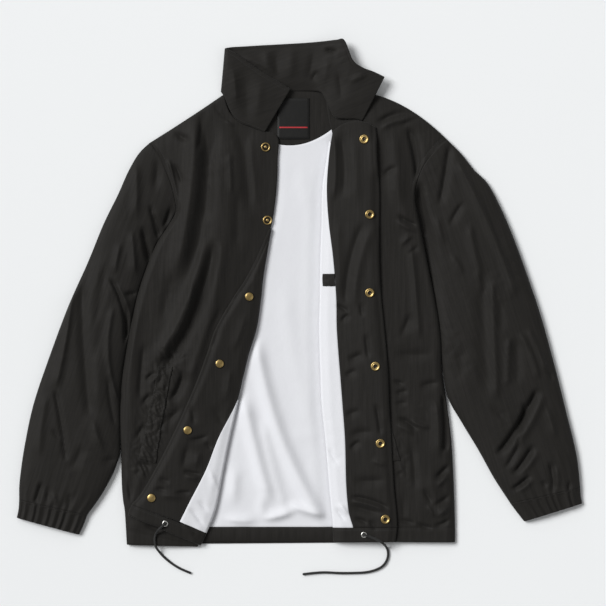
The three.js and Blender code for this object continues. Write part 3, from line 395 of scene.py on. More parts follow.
FOLDS_SLEEVE_LEFT = table(FOLD_COLUMNS, [
    [239, -78, 222, -186, 1, 4.5, -3.4],
    [190, -140, 196, -236, -2, 5, -5],
    [250, -110, 346, -332, 5, 5, 2.6],
    [262, -176, 238, -218, -2, 4, -2.4],
    [240, -258, 262, -296, 0, 4, 2],
    [282, -282, 290, -330, 0, 4, 2.2],
    [292, -270, 302, -496, -4, 10, -4],
    [306, -300, 314, -496, 0, 5, 2.8],
    [334, -392, 332, -474, -1, 3, 2],
    [350, -384, 382, -462, 3, 3.5, 2.2],
    [344, -388, 347, -474, 0, 6, -2.6],
    [362, -378, 394, -452, 3, 3.5, 1.8],
    [380, -472, 312, -584, 4, 4.5, -6],
    [390, -480, 330, -584, 6, 6, 3],
    [358, -494, 344, -550, 3, 3, -3.4],
    [352, -544, 326, -604, 4, 3, -3],
    [373, -563, 337, -615, 2, 4, -5],
    [382, -570, 348, -616, 3, 5, 2.6],
    [369, -611, 335, -638, 2, 3.5, -5],
    [374, -618, 344, -642, 2, 4, 2.6],
    [397, -590, 404, -644, 2, 3.2, -4],
    [408, -596, 412, -640, 1, 4, 2],
    [386, -622, 394, -634, 0, 3, -2.4],
    [430, -620, 428, -642, 0, 3, -2],
    [395, -446, 402, -468, 2, 3, -1.6],
    [270, -210, 292, -300, -3, 5, 2.4],
    [262, -396, 256, -470, -2, 8, -2.4],
    [300, -500, 336, -540, 3, 5, -2],
    [392, -500, 408, -560, 2, 5, 2.2],
    [218, -196, 232, -250, -2, 5, 2],
    [318, -330, 322, -390, 0, 5, -1.6],
])
FOLDS_LINING = table(FOLD_COLUMNS, [
    [-72, -388, 38, -690, -18, 9, 8],
    [-92, -480, -44, -668, -3, 8.5, 7.5],
    [-102, -590, -108, -672, 0, 8, 4],
    [-22, -658, 48, -680, -3, 6, 5],
    [-66, -684, -2, -667, -4, 6, 5],
    [-126, -682, -64, -686, -3, 6, 3.4],
    [2, -110, 8, -200, 0, 9, 0.8],
    [-24, -550, 36, -556, 2, 9, 0.8],
    [-60, -520, -20, -680, -3, 7, 2.5],
    [-26, -300, 22, -560, -6, 12, 1.4],
    [-60, -640, -62, -692, 1, 6, 2],
])
FOLDS_COLLAR = table(FOLD_COLUMNS, [
    [38, 67, 62, 60, 0, 4, -3],
    [33, 4, 44, -26, 1, 2.8, -3],
    [-91, 44, -84, -62, 2, 11, -4.6],
    [-100, 56, -30, 22, 4, 5, 1.6],
    [-108, 40, -102, -30, 2, 6, 2],
    [-40, 70, -38, 12, 1, 6, -1.8],
    [-54, 68, -50, 30, 0, 5, 1.6],
    [-12, 74, -16, 14, 0, 7, 1.8],
    [22, 70, 10, 10, 2, 6, -1.6],
    [44, 60, 36, 4, 2, 7, 1.8],
    [76, 10, 112, 26, 2, 4, 1.8],
    [58, 40, 66, -20, 2, 6, -2],
    [30, 34, 16, 14, 0, 4, -1.8],
    [-62, 20, -72, -50, 1, 7, 1.2],
])
FOLDS_TURN_RIGHT = table(FOLD_COLUMNS, [
    [-120, -338, -96, -322, 2, 4, -2.4],
    [-134, -372, -150, -416, 2, 5, -2.4],
    [-176, -500, -170, -538, 2, 3.5, -2.4],
    [-182, -557, -144, -549, -3, 3.5, -2.6],
    [-152, -560, -140, -574, 0, 3, -2],
    [-188, -606, -156, -613, -1, 3, -3],
    [-202, -642, -172, -641, 0, 3, -2.8],
    [-232, -636, -212, -640, 2, 3, -2],
    [-226, -618, -206, -626, 0, 4, -2],
    [-186, -614, -158, -620, 0, 5, 2.2],
    [-226, -646, -180, -648, 0, 5, 2.2],
    [-178, -560, -188, -606, 0, 5, -2.4],
    [-160, -574, -166, -604, 0, 5, 2],
    [-110, -440, -118, -500, 0, 5, 2],
    [-86, -350, -110, -420, 3, 6, 1.8],
    [-140, -500, -120, -540, 0, 6, -2],
    [-178, -664, -152, -698, 1, 3, -1.8],
    [-190, -684, -168, -712, -1, 3, 1.6],
    [-164, -652, -144, -676, 0, 3.5, -1.6],
    [-146, -600, -130, -640, 0, 4, 1.4],
])
FOLDS_TURN_LEFT = table(FOLD_COLUMNS, [
    [62, -62, 66, -176, 7, 6, -2.6],
    [119, -64, 122, -150, 0, 6, 3.2],
    [121, -200, 124, -330, 0, 5, 1.4],
    [134, -420, 140, -540, 0, 5, 1.4],
    [52, -66, 52, -180, 5, 5, 2],
    [84, -66, 88, -190, 2, 8, 2.2],
    [103, -206, 72, -346, -8, 6, -2.6],
    [116, -214, 88, -350, -8, 7, 2.4],
    [60, -200, 64, -330, 0, 7, 2],
    [56, -342, 78, -356, 2, 3, -2.4],
    [64, -370, 80, -355, 1, 3, -2.4],
    [96, -336, 99, -364, 0, 3, -2],
    [74, -430, 102, -416, -2, 5, -2.6],
    [104, -386, 109, -430, 0, 3, -2.4],
    [70, -456, 92, -444, 0, 4, -2],
    [120, -498, 128, -552, 1, 3, -2.6],
    [76, -552, 120, -545, 3, 6, -2.6],
    [78, -574, 98, -557, 1, 3.5, -2.6],
    [82, -622, 140, -620, -2, 6, -2.6],
    [76, -660, 134, -676, -1, 5, -2.6],
    [80, -648, 144, -668, 4, 3, -2.6],
    [80, -655, 138, -671, 2, 3, 2.4],
    [86, -682, 110, -692, 1, 3, -2.4],
    [110, -684, 122, -704, 0, 4, -2],
    [70, -520, 98, -508, 0, 5, -2],
    [112, -590, 140, -600, 1, 4, 1.6],
    [55, -664, 72, -690, 1, 3, -1.8],
    [62, -656, 78, -680, 0, 3, 1.6],
    [44, -570, 62, -600, 0, 3.5, -1.4],
])


def smooth(value):
    """Eases from 0 to 1, level at both ends."""
    value = np.clip(value, 0, 1)
    return value * value * (3 - 2 * value)


def quarter_round(value):
    """Rises from 0 to 1 as a quarter of a circle does."""
    return np.sqrt(1 - (1 - np.clip(value, 0, 1)) ** 2)


def flat_oval(across):
    """The height of a flattened tube across it: 0 at its folds, and 1 in the middle."""
    return (1 - np.abs(2 * across - 1) ** OVAL_POWER) ** (1 / OVAL_POWER)


def mix(a, b, share):
    return a + (b - a) * share


def arched(share):
    """From 0 at both ends to 1 in the middle."""
    return 4 * share * (1 - share)


def bump(distance, width):
    """1 at no distance, and almost 0 at twice the width."""
    return np.exp(-((distance / width) ** 2))


def run_length(points):
    """How far along a run of points each of them lies."""
    return np.concatenate([[0], np.cumsum(np.linalg.norm(np.diff(points, axis=0), axis=1))])


def column_at(rows, column, place):
    """The value of a table's column at places between its rows, on a smooth curve through the rows."""
    values = rows[column]
    row = np.clip(np.floor(place).astype(int), 0, len(values) - 2)
    t = place - row
    a, b, c, d = (values[np.clip(row + n, 0, len(values) - 1)] for n in (-1, 0, 1, 2))
    return b + 0.5 * t * (c - a + t * (2 * a - 5 * b + 4 * c - d + t * (3 * (b - c) + d - a)))


def ruled(rows, start, end, place, across):
    """Points across a ruled row, between the two edges that the names stand for."""
    place, across = np.broadcast_arrays(np.asarray(place, float), np.asarray(across, float))
    x = mix(column_at(rows, start + "_x", place), column_at(rows, end + "_x", place), across)
    y = mix(column_at(rows, start + "_y", place), column_at(rows, end + "_y", place), across)
    if "bow" in rows:
        y = y + column_at(rows, "bow", place) * arched(across)
    return x, y


def points_on(rows, start, end, place, across):
    return np.stack(ruled(rows, start, end, place, across), -1)


def width_at(rows, start, end, place):
    """How wide a ruled panel is at places along it."""
    first, last = (points_on(rows, start, end, place, across) for across in (0, 1))
    return np.linalg.norm(last - first, axis=-1)


def place_on(rows, start, end, x, y):
    """The place and the share across at which points lie on a ruled panel, found by halving."""
    low = np.zeros_like(x)
    high = np.full_like(x, len(rows[start + "_x"]) - 1.0)
    for _ in range(HALVINGS):
        place = (low + high) / 2
        start_x, end_x = (ruled(rows, start, end, place, across)[0] for across in (0, 1))
        across = np.clip((x - start_x) / (end_x - start_x), 0, 1)
        above = y < ruled(rows, start, end, place, across)[1]
        low = np.where(above, place, low)
        high = np.where(above, high, place)
    return (low + high) / 2, across


def even_places(rows, start, end, first, last, spacing):
    """Places along a ruled panel that lie about as far apart as spacing says."""
    fine = np.linspace(first, last, TRACE_STEPS)
    run = run_length(points_on(rows, start, end, fine, 0.5))
    return np.interp(np.linspace(0, run[-1], max(int(run[-1] / spacing), 4) + 1), run, fine)


def all_places(rows, spacing):
    return even_places(rows, "edge", "side", 0, len(rows["edge_x"]) - 1, spacing)


def evenly(length, share=1.0, start=0, end=1):
    """Values from start to end, as many as cloth of that length has points, more for a small share."""
    return np.linspace(start, end, int(length / (GRAIN * share)))


def fold_height(folds, x, y):
    """Soft folds. A narrow one is crisper, and steeper on the side that faces away from the light."""
    height = np.zeros_like(x)
    for start_x, start_y, end_x, end_y, bend, width, tall in zip(*folds.values()):
        run, drop = end_x - start_x, end_y - start_y
        length = math.hypot(run, drop)
        along = ((x - start_x) * run + (y - start_y) * drop) / length**2
        aside = (run * (y - start_y) - drop * (x - start_x)) / length
        off = (aside - bend * arched(along)) / width
        faces_light = (run * LIGHT_FROM[1] - drop * LIGHT_FROM[0]) / length
        crisp = smooth((SOFT_FOLD - width) / CRISP_RANGE)
        off = off * (1 - FOLD_SKEW * crisp * faces_light * np.sign(off) * math.copysign(1, tall))
        fade = min(LONGEST_FADE, FOLD_FADE * width / length)
        taper = smooth(along / fade) * smooth((1 - along) / fade)
        rounded, pinched = np.exp(-0.7 * off * off), np.exp(-1.8 * np.abs(off))
        height += (1 + CRISP_GAIN * crisp) * tall * taper * mix(rounded, pinched, 0.1 + 0.3 * crisp)
    return height


def gradient_noise(x, y, seed):
    """Smooth noise from about -0.7 to 0.7 with features one unit wide."""
    rng = np.random.default_rng(seed)
    order = rng.permutation(256)
    angles = rng.uniform(0, 2 * math.pi, 256)
    column, row = np.floor(x).astype(int), np.floor(y).astype(int)
    fx, fy = x - column, y - row

    def corner(dx, dy):
        angle = angles[order[(order[(column + dx) & 255] + row + dy) & 255]]
        return np.cos(angle) * (fx - dx) + np.sin(angle) * (fy - dy)

    ease = fx * fx * fx * (fx * (fx * 6 - 15) + 10)
    rise = fy * fy * fy * (fy * (fy * 6 - 15) + 10)
    return mix(mix(corner(0, 0), corner(1, 0), ease), mix(corner(0, 1), corner(1, 1), ease), rise)


def sized_noise(x, y, wide, long, seed):
    """Smooth noise whose features are so many millimetres wide and long."""
    return gradient_noise(x / wide, y / long, seed)


def ridges(value, steep):
    """Sharp crests where noise crosses zero, from 0 between them to 1 on them."""
    return np.clip(1 - steep * np.abs(value), 0, 1)


def crinkle(x, y, seed, angle=0.0, crumpled=0.0):
    """The lesser creases of crisp nylon, in millimetres: waves, long streaks and crumpled patches."""
    along = x * math.sin(angle) + y * math.cos(angle)
    aside = x * math.cos(angle) - y * math.sin(angle)
    bent = aside + 9 * sized_noise(x, y, 110, 110, seed)
    patch = smooth(0.1 + crumpled + 1.9 * sized_noise(x, y, 75, 90, seed + 5))
    streaky = smooth(0.5 + 1.6 * sized_noise(x, y, 60, 130, seed + 8))
    waves = sized_noise(bent, along, 34, 210, seed + 1)
    streaks = ridges(sized_noise(bent, along, 13, 170, seed + 2), 2.6) ** 1.3
    facets = np.abs(sized_noise(along, bent, 22, 32, seed + 6))
    short = ridges(sized_noise(bent + 0.6 * along, along - 0.6 * bent, 15, 34, seed + 7), 4.2) ** 1.5
    return 0.9 * waves + 0.3 * streaks * streaky + patch * (1.2 * facets + 0.4 * short)


# Meshes
def grid_normals(grid, wraps):
    if wraps:
        across = np.roll(grid, -1, 1) - np.roll(grid, 1, 1)
    else:
        across = np.gradient(grid, axis=1)
    normals = np.cross(np.gradient(grid, axis=0), across)
    return normals / np.maximum(np.linalg.norm(normals, axis=2, keepdims=True), 1e-9)


def to_frame(points):
    return (points - [*FOOTPRINT_MIDDLE, 0]) / 1000


def add_object(name, data, location=(0, 0, 0)):
    made = bpy.data.objects.new(name, data)
    made.location = location
    bpy.context.scene.collection.objects.link(made)
    return made


def add_mesh(name, points, faces, material, smoothed=True):
    mesh = bpy.data.meshes.new(name)
    mesh.from_pydata(to_frame(np.asarray(points, float)).tolist(), [], faces)
    mesh.validate()
    mesh.polygons.foreach_set("use_smooth", [smoothed] * len(mesh.polygons))
    mesh.materials.append(material)
    return add_object(name, mesh)


def quads_between(first, second, columns, wraps):
    """Faces between two rows of points, by the numbers of their first points."""
    last = columns if wraps else columns - 1
    step = np.arange(last)
    after = (step + 1) % columns
    return np.stack([first + step, second + step, second + after, first + after], 1).tolist()


def cloth(name, grid, wall, material, floor=0.0, wraps=False, up=True):
    """A wall of cloth under a grid of points on its outer face, its open edges rounded."""
    rows, columns = grid.shape[:2]
    normals = grid_normals(grid, wraps)
    probe = normals[1, columns // 4 if wraps else columns // 2]
    normals = normals if (probe[2] > 0) == up else -normals
    under = grid - normals * wall
    under[..., 2] = np.maximum(under[..., 2], floor)
    middle = (grid + under) / 2
    out_first = middle[0] - middle[1]
    out_last = middle[-1] - middle[-2]
    bulge = wall * RIM_BULGE
    rim_first = middle[0] + bulge * out_first / np.linalg.norm(out_first, axis=1, keepdims=True)
    rim_last = middle[-1] + bulge * out_last / np.linalg.norm(out_last, axis=1, keepdims=True)
    layers = np.concatenate([rim_first[None], grid, rim_last[None], under[::-1]])
    layers[..., 2] = np.maximum(layers[..., 2], floor)
    count = len(layers)
    faces = []
    for row in range(count):
        faces += quads_between(row * columns, (row + 1) % count * columns, columns, wraps)
    points = layers.reshape(-1, 3)
    if not wraps:
        for column, inner in ((0, 1), (columns - 1, columns - 2)):
            out = middle[:, column] - middle[:, inner]
            rim = middle[:, column] + bulge * out / np.linalg.norm(out, axis=1, keepdims=True)
            rim[:, 2] = np.maximum(rim[:, 2], floor)
            start = len(points)
            points = np.concatenate([points, rim])
            top = [(1 + row) * columns + column for row in range(rows)]
            bottom = [(2 * rows + 1 - row) * columns + column for row in range(rows)]
            ends = [column, (rows + 1) * columns + column]
            for row in range(rows - 1):
                faces.append([top[row], top[row + 1], start + row + 1, start + row])
                faces.append([start + row, start + row + 1, bottom[row + 1], bottom[row]])
            faces.append([ends[0], top[0], start])
            faces.append([ends[0], start, bottom[0]])
            faces.append([ends[1], start + rows - 1, top[-1]])
            faces.append([ends[1], bottom[-1], start + rows - 1])
    made = add_mesh(name, points, faces, material)
    turn_out(made)
    return made


def turn_out(made):
    """Turns every face of a closed mesh to face out."""
    work = bmesh.new()
    work.from_mesh(made.data)
    bmesh.ops.recalc_face_normals(work, faces=work.faces)
    work.to_mesh(made.data)
    work.free()


# The cloth surfaces
def armhole_height(share):
    """Height of the armhole seam, the same for the body and for the top of the sleeve."""
    return SLEEVE_FOLD_HEIGHT + (ARMHOLE_LOFT - SLEEVE_FOLD_HEIGHT) * flat_oval(share)


def outer_edge_height(place):
    upper = armhole_height(np.clip(place / ARMPIT_ROW, 0, 1))
    lower = mix(SLEEVE_FOLD_HEIGHT, SIDE_SEAM_HEIGHT, smooth(place - ARMPIT_ROW))
    return np.where(place <= ARMPIT_ROW, upper, lower)


def beside_sleeve(side, place):
    """From 0 to 1 where a front's side seam stands over the sleeve that lies against it."""
    return smooth((place - ARMPIT_ROW + 2.2) / 1.2) * smooth((SIDES[side]["beside"] - place) / 1.2)


def front_height(side, place, across):
    """Height of a front before any fold."""
    rows = SIDES[side]["rows"]
    shoulder = points_on(rows, "edge", "side", np.zeros_like(place), across)
    body = mix(OPENING_HEIGHT, column_at(rows, "crown", place), smooth(across / 0.5))
    round_width = mix(ARMHOLE_ROUND, SIDE_ROUND, smooth((place - ARMPIT_ROW + 1.5) / 2))
    round_width = round_width * mix(1, SIDES[side]["steep"], beside_sleeve(side, place))
    from_side = (1 - across) * width_at(rows, "edge", "side", place)
    from_shoulder = np.linalg.norm(points_on(rows, "edge", "side", place, across) - shoulder, axis=-1)
    outer = outer_edge_height(place)
    height = outer + (body - outer) * quarter_round(from_side / round_width)
    return mix(SIDE_SEAM_HEIGHT + 1, height, quarter_round(from_shoulder / SHOULDER_ROUND))


def outside_turn(turn, x, y, towards):
    """How far points lie outside what is turned back."""
    edge = np.interp(-y, -turn["edge_y"], turn["edge_x"])
    return np.maximum.reduce([towards * (x - edge), y - turn["edge_y"][0], turn["edge_y"][-1] - y])


# What differs between the sides. Away is how the armhole seam leaves the body. Sleeve and body part at
# the sleeve's row called parting and the front's row called beside. Sunk is the share by which the sleeve
# dips beside the body. Roll is how far the front's edge rolls out over it, and steep is the share of the
# usual width over which that edge is rounded.
SIDES = {
    "right": {
        "rows": FRONT_RIGHT, "turn": TURN_RIGHT, "folds": FOLDS_RIGHT, "turn_folds": FOLDS_TURN_RIGHT,
        "towards": -1, "away": (-0.93, -0.36), "parting": 8.9, "beside": 14.2, "sunk": 0.3, "roll": 2.4,
        "steep": 0.75, "pocket": ((-214, -446), (-243, -588)), "stitched_from": 1.5, "lining_from": 6.9,
        "hem_row": 11, "facing_width": 74,
        "welt": POCKET_WELT_RIGHT, "welt_wall": SHELL_WALL, "welt_gap": 0.4,
    },
    "left": {
        "rows": FRONT_LEFT, "turn": TURN_LEFT, "folds": FOLDS_LEFT, "turn_folds": FOLDS_TURN_LEFT,
        "towards": 1, "away": (0.88, -0.48), "parting": 7.2, "beside": 11.4, "sunk": 0.95, "roll": 3.4,
        "steep": 0.35, "pocket": ((110, -446), (147, -588)), "stitched_from": 0.4, "lining_from": 1.2,
        "hem_row": 13, "facing_width": 78,
        "welt": POCKET_WELT_LEFT, "welt_wall": TRIM_WALL, "welt_gap": 0.3,
    },
}


def kept_above(height, floor):
    """Heights that ease into a floor and stay above it."""
    over = height - floor
    return height + (np.sqrt(over**2 + 1) - over) / 2


def front_top(side, place, across):
    """Height of a front with its folds and creases, at places on it."""
    part = SIDES[side]
    rows = part["rows"]
    x, y = ruled(rows, "edge", "side", place, across)
    span = width_at(rows, "edge", "side", place)
    from_side = (1 - across) * span
    near_outer = smooth(from_side / EDGE_FADE)
    near_opening = smooth(across * span / EDGE_FADE)
    clear = smooth((outside_turn(part["turn"], x, y, part["towards"]) - 2) / TURN_FADE)
    calm = smooth(from_side / 12 + 0.15) * mix(0.35, 1, clear)
    even = front_height(side, place, across)
    height = even + fold_height(part["folds"], x, y) * near_outer * near_opening * clear
    height = height - seam_dips(rows, place, from_side)
    height = height + puckers(x, y, part["pocket"]) * clear * near_outer
    height = height + crinkle(x, y, SEED + len(side), 0.12) * calm
    return kept_above(height, np.minimum(even - 0.3, LEAST_HEIGHT))


def puckers(x, y, pocket):
    """Crumpled cloth in and around the mouth of a pocket, whose middle line is given."""
    (top_x, top_y), (low_x, low_y) = pocket
    share = np.clip((y - top_y) / (low_y - top_y), -0.15, 1.1)
    off = np.hypot(x - mix(top_x, low_x, share), y - mix(top_y, low_y, share))
    bent = y / 15 + x / 22 + 1.3 * sized_noise(x, y, 26, 26, SEED + 9)
    coarse = np.abs(gradient_noise(bent, x / 13, SEED + 14))
    fine = ridges(sized_noise(x + y, x - 0.5 * y, 11, 19, SEED + 15), 3.2)
    return bump(off, PUCKER_REACH) * (7.5 * coarse + 1.2 * fine - 1.6)


def seam_dips(rows, place, from_side):
    """Shallow dips where the armhole and the drawcord casing are stitched through."""
    armhole = bump(from_side - STITCH_INSET, 1.8) * (place < ARMPIT_ROW - 0.4)
    casing = bump(casing_inset(rows, place) - CASING_DEPTH, 2.2)
    return 0.5 * STITCH_DIP * armhole + 2 * STITCH_DIP * casing


def stitch_dip(from_edge):
    """The dip along the stitched line beside an edge."""
    return STITCH_DIP * bump(from_edge - STITCH_INSET, 1.6)


def casing_inset(rows, place):
    """How far a place is above the hem, in millimetres."""
    return column_at(rows, "side_y", place) - rows["side_y"][-1]


def front_at(side, x, y):
    """Height of a front at points on it."""
    return front_top(side, *place_on(SIDES[side]["rows"], "edge", "side", x, y))


def front_grid(side):
    """A front's outer face, finer towards its side edge, which rolls out over the sleeve beside it."""
    rows = SIDES[side]["rows"]
    across = 1 - (1 - evenly(FRONT_WIDTH)) ** 1.35
    place, across = np.meshgrid(all_places(rows, GRAIN), across, indexing="ij")
    x, y = ruled(rows, "edge", "side", place, across)
    out_x, out_y = x[:, -1:] - x[:, :1], y[:, -1:] - y[:, :1]
    span = np.hypot(out_x, out_y)
    from_seam = np.clip((1 - across) * span / ROLL_WIDTH, 0, 1)
    rolled = beside_sleeve(side, place) * smooth(place - 4.2)
    roll = SIDES[side]["roll"] * np.sin(np.pi * np.sqrt(from_seam)) * rolled
    return np.stack([x + roll * out_x / span, y + roll * out_y / span, front_top(side, place, across)], -1)


def turn_top(side, x, y):
    """Top of what is turned back: the front's surface moved out, rounded down where it wraps the fold."""
    turn = SIDES[side]["turn"]
    place = place_on(turn, "fold", "edge", x, y)[0]
    here = np.stack([x, y], -1)
    from_fold, from_edge = (
        np.linalg.norm(here - points_on(turn, "fold", "edge", place, share), axis=-1) for share in (0, 1)
    )
    lift = TURN_SWELL * smooth(from_fold / 16) * smooth(from_edge / 14)
    lift = lift + fold_height(SIDES[side]["turn_folds"], x, y)
    lift = np.maximum(lift + 0.6 * crinkle(x, y, SEED + 30 + len(side), -0.1), -1.0) - stitch_dip(from_edge)
    top = front_at(side, x, y) + TURN_CLEARANCE + TURNED_WALL + lift
    low = REST_HEIGHT + LINING_WALL + TURNED_WALL + 0.5
    return low + (top - low) * quarter_round(from_fold / WRAP_WIDTH)


def turn_grid(side, start, end, first, last, width, inset=0.0):
    """What is turned back, between two of its edges. Inset keeps the lining short of its seam."""
    turn = dict(SIDES[side]["turn"])
    turn["seam_x"] = turn["seam_x"] - SIDES[side]["towards"] * inset
    spacing = GRAIN * 0.9
    places = even_places(turn, start, end, first, last, spacing)
    across = np.linspace(0, 1, max(int(width / spacing), 6)) ** 1.25
    place, across = np.meshgrid(places, across, indexing="ij")
    x, y = ruled(turn, start, end, place, across)
    return np.stack([x, y, turn_top(side, x, y)], -1)


def lining_top(x, y):
    """Height of the back's lining, which lies in folds between the two fronts and flat under them."""
    right_edge, left_edge = (
        ruled(rows, "edge", "side", place_on(rows, "edge", "side", x, y)[0], 0)[0]
        for rows in (FRONT_RIGHT, FRONT_LEFT)
    )
    open_here = smooth((x - right_edge - 4) / 12) * smooth((left_edge - 8 - x) / 14)
    long_waves = sized_noise(x, y, 42, 120, SEED + 60)
    cross_waves = sized_noise(x, y, 70, 34, SEED + 61)
    waves = 0.6 + 0.6 * long_waves + 0.4 * cross_waves
    beside_strip = 0.7 * bump(left_edge - 24 - x, 9) * smooth((-y - 120) / 60)
    folds = np.maximum(fold_height(FOLDS_LINING, x, y), 0) + beside_strip
    return REST_HEIGHT + LINING_WALL + (folds + waves) * open_here


def lying_grid(rows, spacing, height):
    """A panel that lies flat, at heights worked out from its points and their places."""
    width = abs(rows["side_x"][0] - rows["edge_x"][0])
    shares = np.linspace(0, 1, int(max(width, LEAST_PANEL_WIDTH) / spacing))
    place, across = np.meshgrid(all_places(rows, spacing), shares, indexing="ij")
    x, y = ruled(rows, "edge", "side", place, across)
    return np.stack([x, y, height(x, y, place)], -1)


def ring_shares(over, under):
    """Shares round a flattened tube, over its top and back along its underside, and which are on top."""
    on_top = [True] * len(over) + [False] * len(under)
    return np.concatenate([over, under]), np.array(on_top)


def ring_grid(rows, places, across, over):
    """A flattened tube before any fold: where its points are along and across it, and their heights."""
    place, share = np.meshgrid(places, across, indexing="ij")
    over = np.broadcast_to(over, place.shape)
    x, y = ruled(rows, "inner", "outer", place, share)
    oval = flat_oval(share)
    top = SLEEVE_FOLD_HEIGHT + (column_at(rows, "loft", place) - SLEEVE_FOLD_HEIGHT) * oval
    bottom = SLEEVE_FOLD_HEIGHT * (1 - oval**0.6)
    return place, share, over, x, y, np.where(over, top, bottom)


def gathers(share, seed, count):
    """Uneven pleats across a gathered edge, from 0 between them to 1 on them."""
    bent = share * count + 0.8 * gradient_noise(share * count * 0.6, share * 0 + seed, seed)
    depth = 0.75 + 0.5 * gradient_noise(share * count * 0.5 + 7, share * 0 + seed + 3.3, seed + 1)
    return (0.5 + 0.5 * np.cos(2 * math.pi * bent)) * depth


def up_to_body(side, x, y, place):
    """How far a sleeve's inner edge moves to lie against the body, down to where the two part."""
    part = SIDES[side]
    fine = np.linspace(ARMPIT_ROW, len(part["rows"]["side_x"]) - 1, 400)
    seam_x, seam_y = ruled(part["rows"], "edge", "side", fine, 1)
    against = np.interp(-y, -seam_y, seam_x) + part["towards"] * PARTED_GAP
    return (against - x) * smooth(place - 0.2) * smooth((part["parting"] - place) / 0.7)


def sleeve_grid(side, rows, folds):
    """A sleeve, its top bent onto the armhole seam, laid against the body and gathered towards the cuff."""
    part = SIDES[side]
    over = (1 - np.cos(evenly(SLEEVE_TOP, end=math.pi))) / 2
    under = (1 + np.cos(evenly(SLEEVE_UNDERSIDE, end=math.pi)[1:-1])) / 2
    places = even_places(rows, "inner", "outer", 0, len(rows["inner_x"]) - 1, GRAIN)
    place, share, over, x, y, z = ring_grid(rows, places, *ring_shares(over, under))
    from_body = np.hypot(x - x[:, :1], y - y[:, :1])
    beside_body = smooth(place / 0.5) * smooth((5.2 - place) / 3) * (1 - smooth((from_body - 3) / 30))
    z = np.where(over, z - (z - SLEEVE_FOLD_HEIGHT) * part["sunk"] * beside_body, z)
    seam_x, seam_y = ruled(part["rows"], "edge", "side", ARMPIT_ROW * (1 - share), 1)
    straight_x, straight_y = ruled(rows, "inner", "outer", np.zeros_like(share), share)
    pull = smooth(1 - place / 2.5)
    x = x + (seam_x - straight_x + part["away"][0] * ARMHOLE_GAP) * pull
    y = y + (seam_y - straight_y + part["away"][1] * ARMHOLE_GAP) * pull
    x = x + up_to_body(side, x[:, :1], y[:, :1], place) * (1 - share) ** 4
    clear = smooth(place / 0.7) * smooth(flat_oval(share) * 1.3)
    from_cuff = np.hypot(x - x[-1], y - y[-1])
    pleats = (gathers(share, SEED + len(side), CUFF_PLEATS) - 0.4) * 2.6 * np.exp(-from_cuff / 26)
    lesser = crinkle(x, y, SEED + 80 + len(side), 0.35 if side == "right" else -0.35) * 1.25
    detail = (fold_height(folds, x, y) + lesser * smooth(from_cuff / 20)) * clear
    detail = detail + pleats * np.minimum(flat_oval(share) ** 2, 1) * smooth(place / 1.2)
    return np.stack([x, y, np.where(over, z + detail, z)], -1)


def cuff_grid(side, rows):
    """A cuff, whose pleats stand between the seam at the sleeve and the rounded mouth."""
    across = evenly(CUFF_WIDTH, 0.5)
    places = evenly(CUFF_LENGTH, 0.7, end=2)
    place, share, over, x, y, z = ring_grid(rows, places, *ring_shares(across, across[::-1][1:-1]))
    pleat = gathers(share, SEED + len(side), CUFF_PLEATS) - 0.5
    from_seam = np.abs(place - 0.12) * 18
    band = smooth(from_seam / 3) * smooth((2.15 - place) * 6)
    top = z + pleat * CUFF_PLEAT_DEPTH * band * flat_oval(share)
    bottom = z + np.maximum(-pleat, 0) * 0.9
    return np.stack([x, y, np.where(over, top, bottom)], -1)


def collar_grid():
    """The collar from its right point round the neck to its left point, creased as a folded band is."""
    count = len(COLLAR["neck_x"]) - 1
    places = evenly(COLLAR_LENGTH, 0.8, end=count)
    place, across = np.meshgrid(places, evenly(COLLAR_DEPTH, 0.8), indexing="ij")
    neck, rim = (
        np.stack([column_at(COLLAR, edge + axis, place) for axis in ("_x", "_y", "_z")], -1)
        for edge in ("neck", "rim")
    )
    grid = mix(neck, rim, across[..., None])
    grid[..., 2] += column_at(COLLAR, "arch", place) * arched(across)
    ends = smooth(place / 1.5) * smooth((count - place) / 1.5)
    edges = smooth(across / 0.12) * mix(0.4, 1, smooth((1 - across) / 0.2))
    lesser = crinkle(grid[..., 0], grid[..., 1], SEED + 40, 1.3, 0.1)
    grid[..., 2] += (0.75 * lesser + fold_height(FOLDS_COLLAR, grid[..., 0], grid[..., 1])) * ends * edges
    grid[..., 2] -= stitch_dip((1 - across) * np.linalg.norm(rim - neck, axis=-1))
    return grid


# Materials
def linear(colour):
    """Linear red, green and blue of a colour written as in a style sheet."""
    parts = [int(colour[n:n + 2], 16) / 255 for n in (1, 3, 5)]
    return tuple(c / 12.92 if c <= 0.04045 else ((c + 0.055) / 1.055) ** 2.4 for c in parts)


def add_node(material, kind, **inputs):
    """A node of that kind with its inputs set: a value is stored, another node's socket is linked."""
    tree = material.node_tree
    node = tree.nodes.new(kind)
    for name, value in inputs.items():
        socket = node.inputs[name.replace("_", " ")]
        if isinstance(value, bpy.types.NodeSocket):
            tree.links.new(value, socket)
        else:
            socket.default_value = value
    return node


def plain_material(name, colour, roughness, metallic=0.0):
    """A material of one colour, and its shader."""
    material = bpy.data.materials.new(name)
    material.use_nodes = True
    shader = material.node_tree.nodes["Principled BSDF"]
    shader.inputs["Base Color"].default_value = (*linear(colour), 1)
    shader.inputs["Roughness"].default_value = roughness
    shader.inputs["Metallic"].default_value = metallic
    return material, shader


def place_on_object(material):
    return add_node(material, "ShaderNodeTexCoord").outputs["Object"]


def mottle(material, shader, pattern, dark, light):
    """Colours a surface between two tones by a pattern."""
    tint = add_node(
        material, "ShaderNodeMixRGB", Fac=pattern.outputs["Fac"], Color1=(*linear(dark), 1),
        Color2=(*linear(light), 1),
    )
    material.node_tree.links.new(tint.outputs["Color"], shader.inputs["Base Color"])


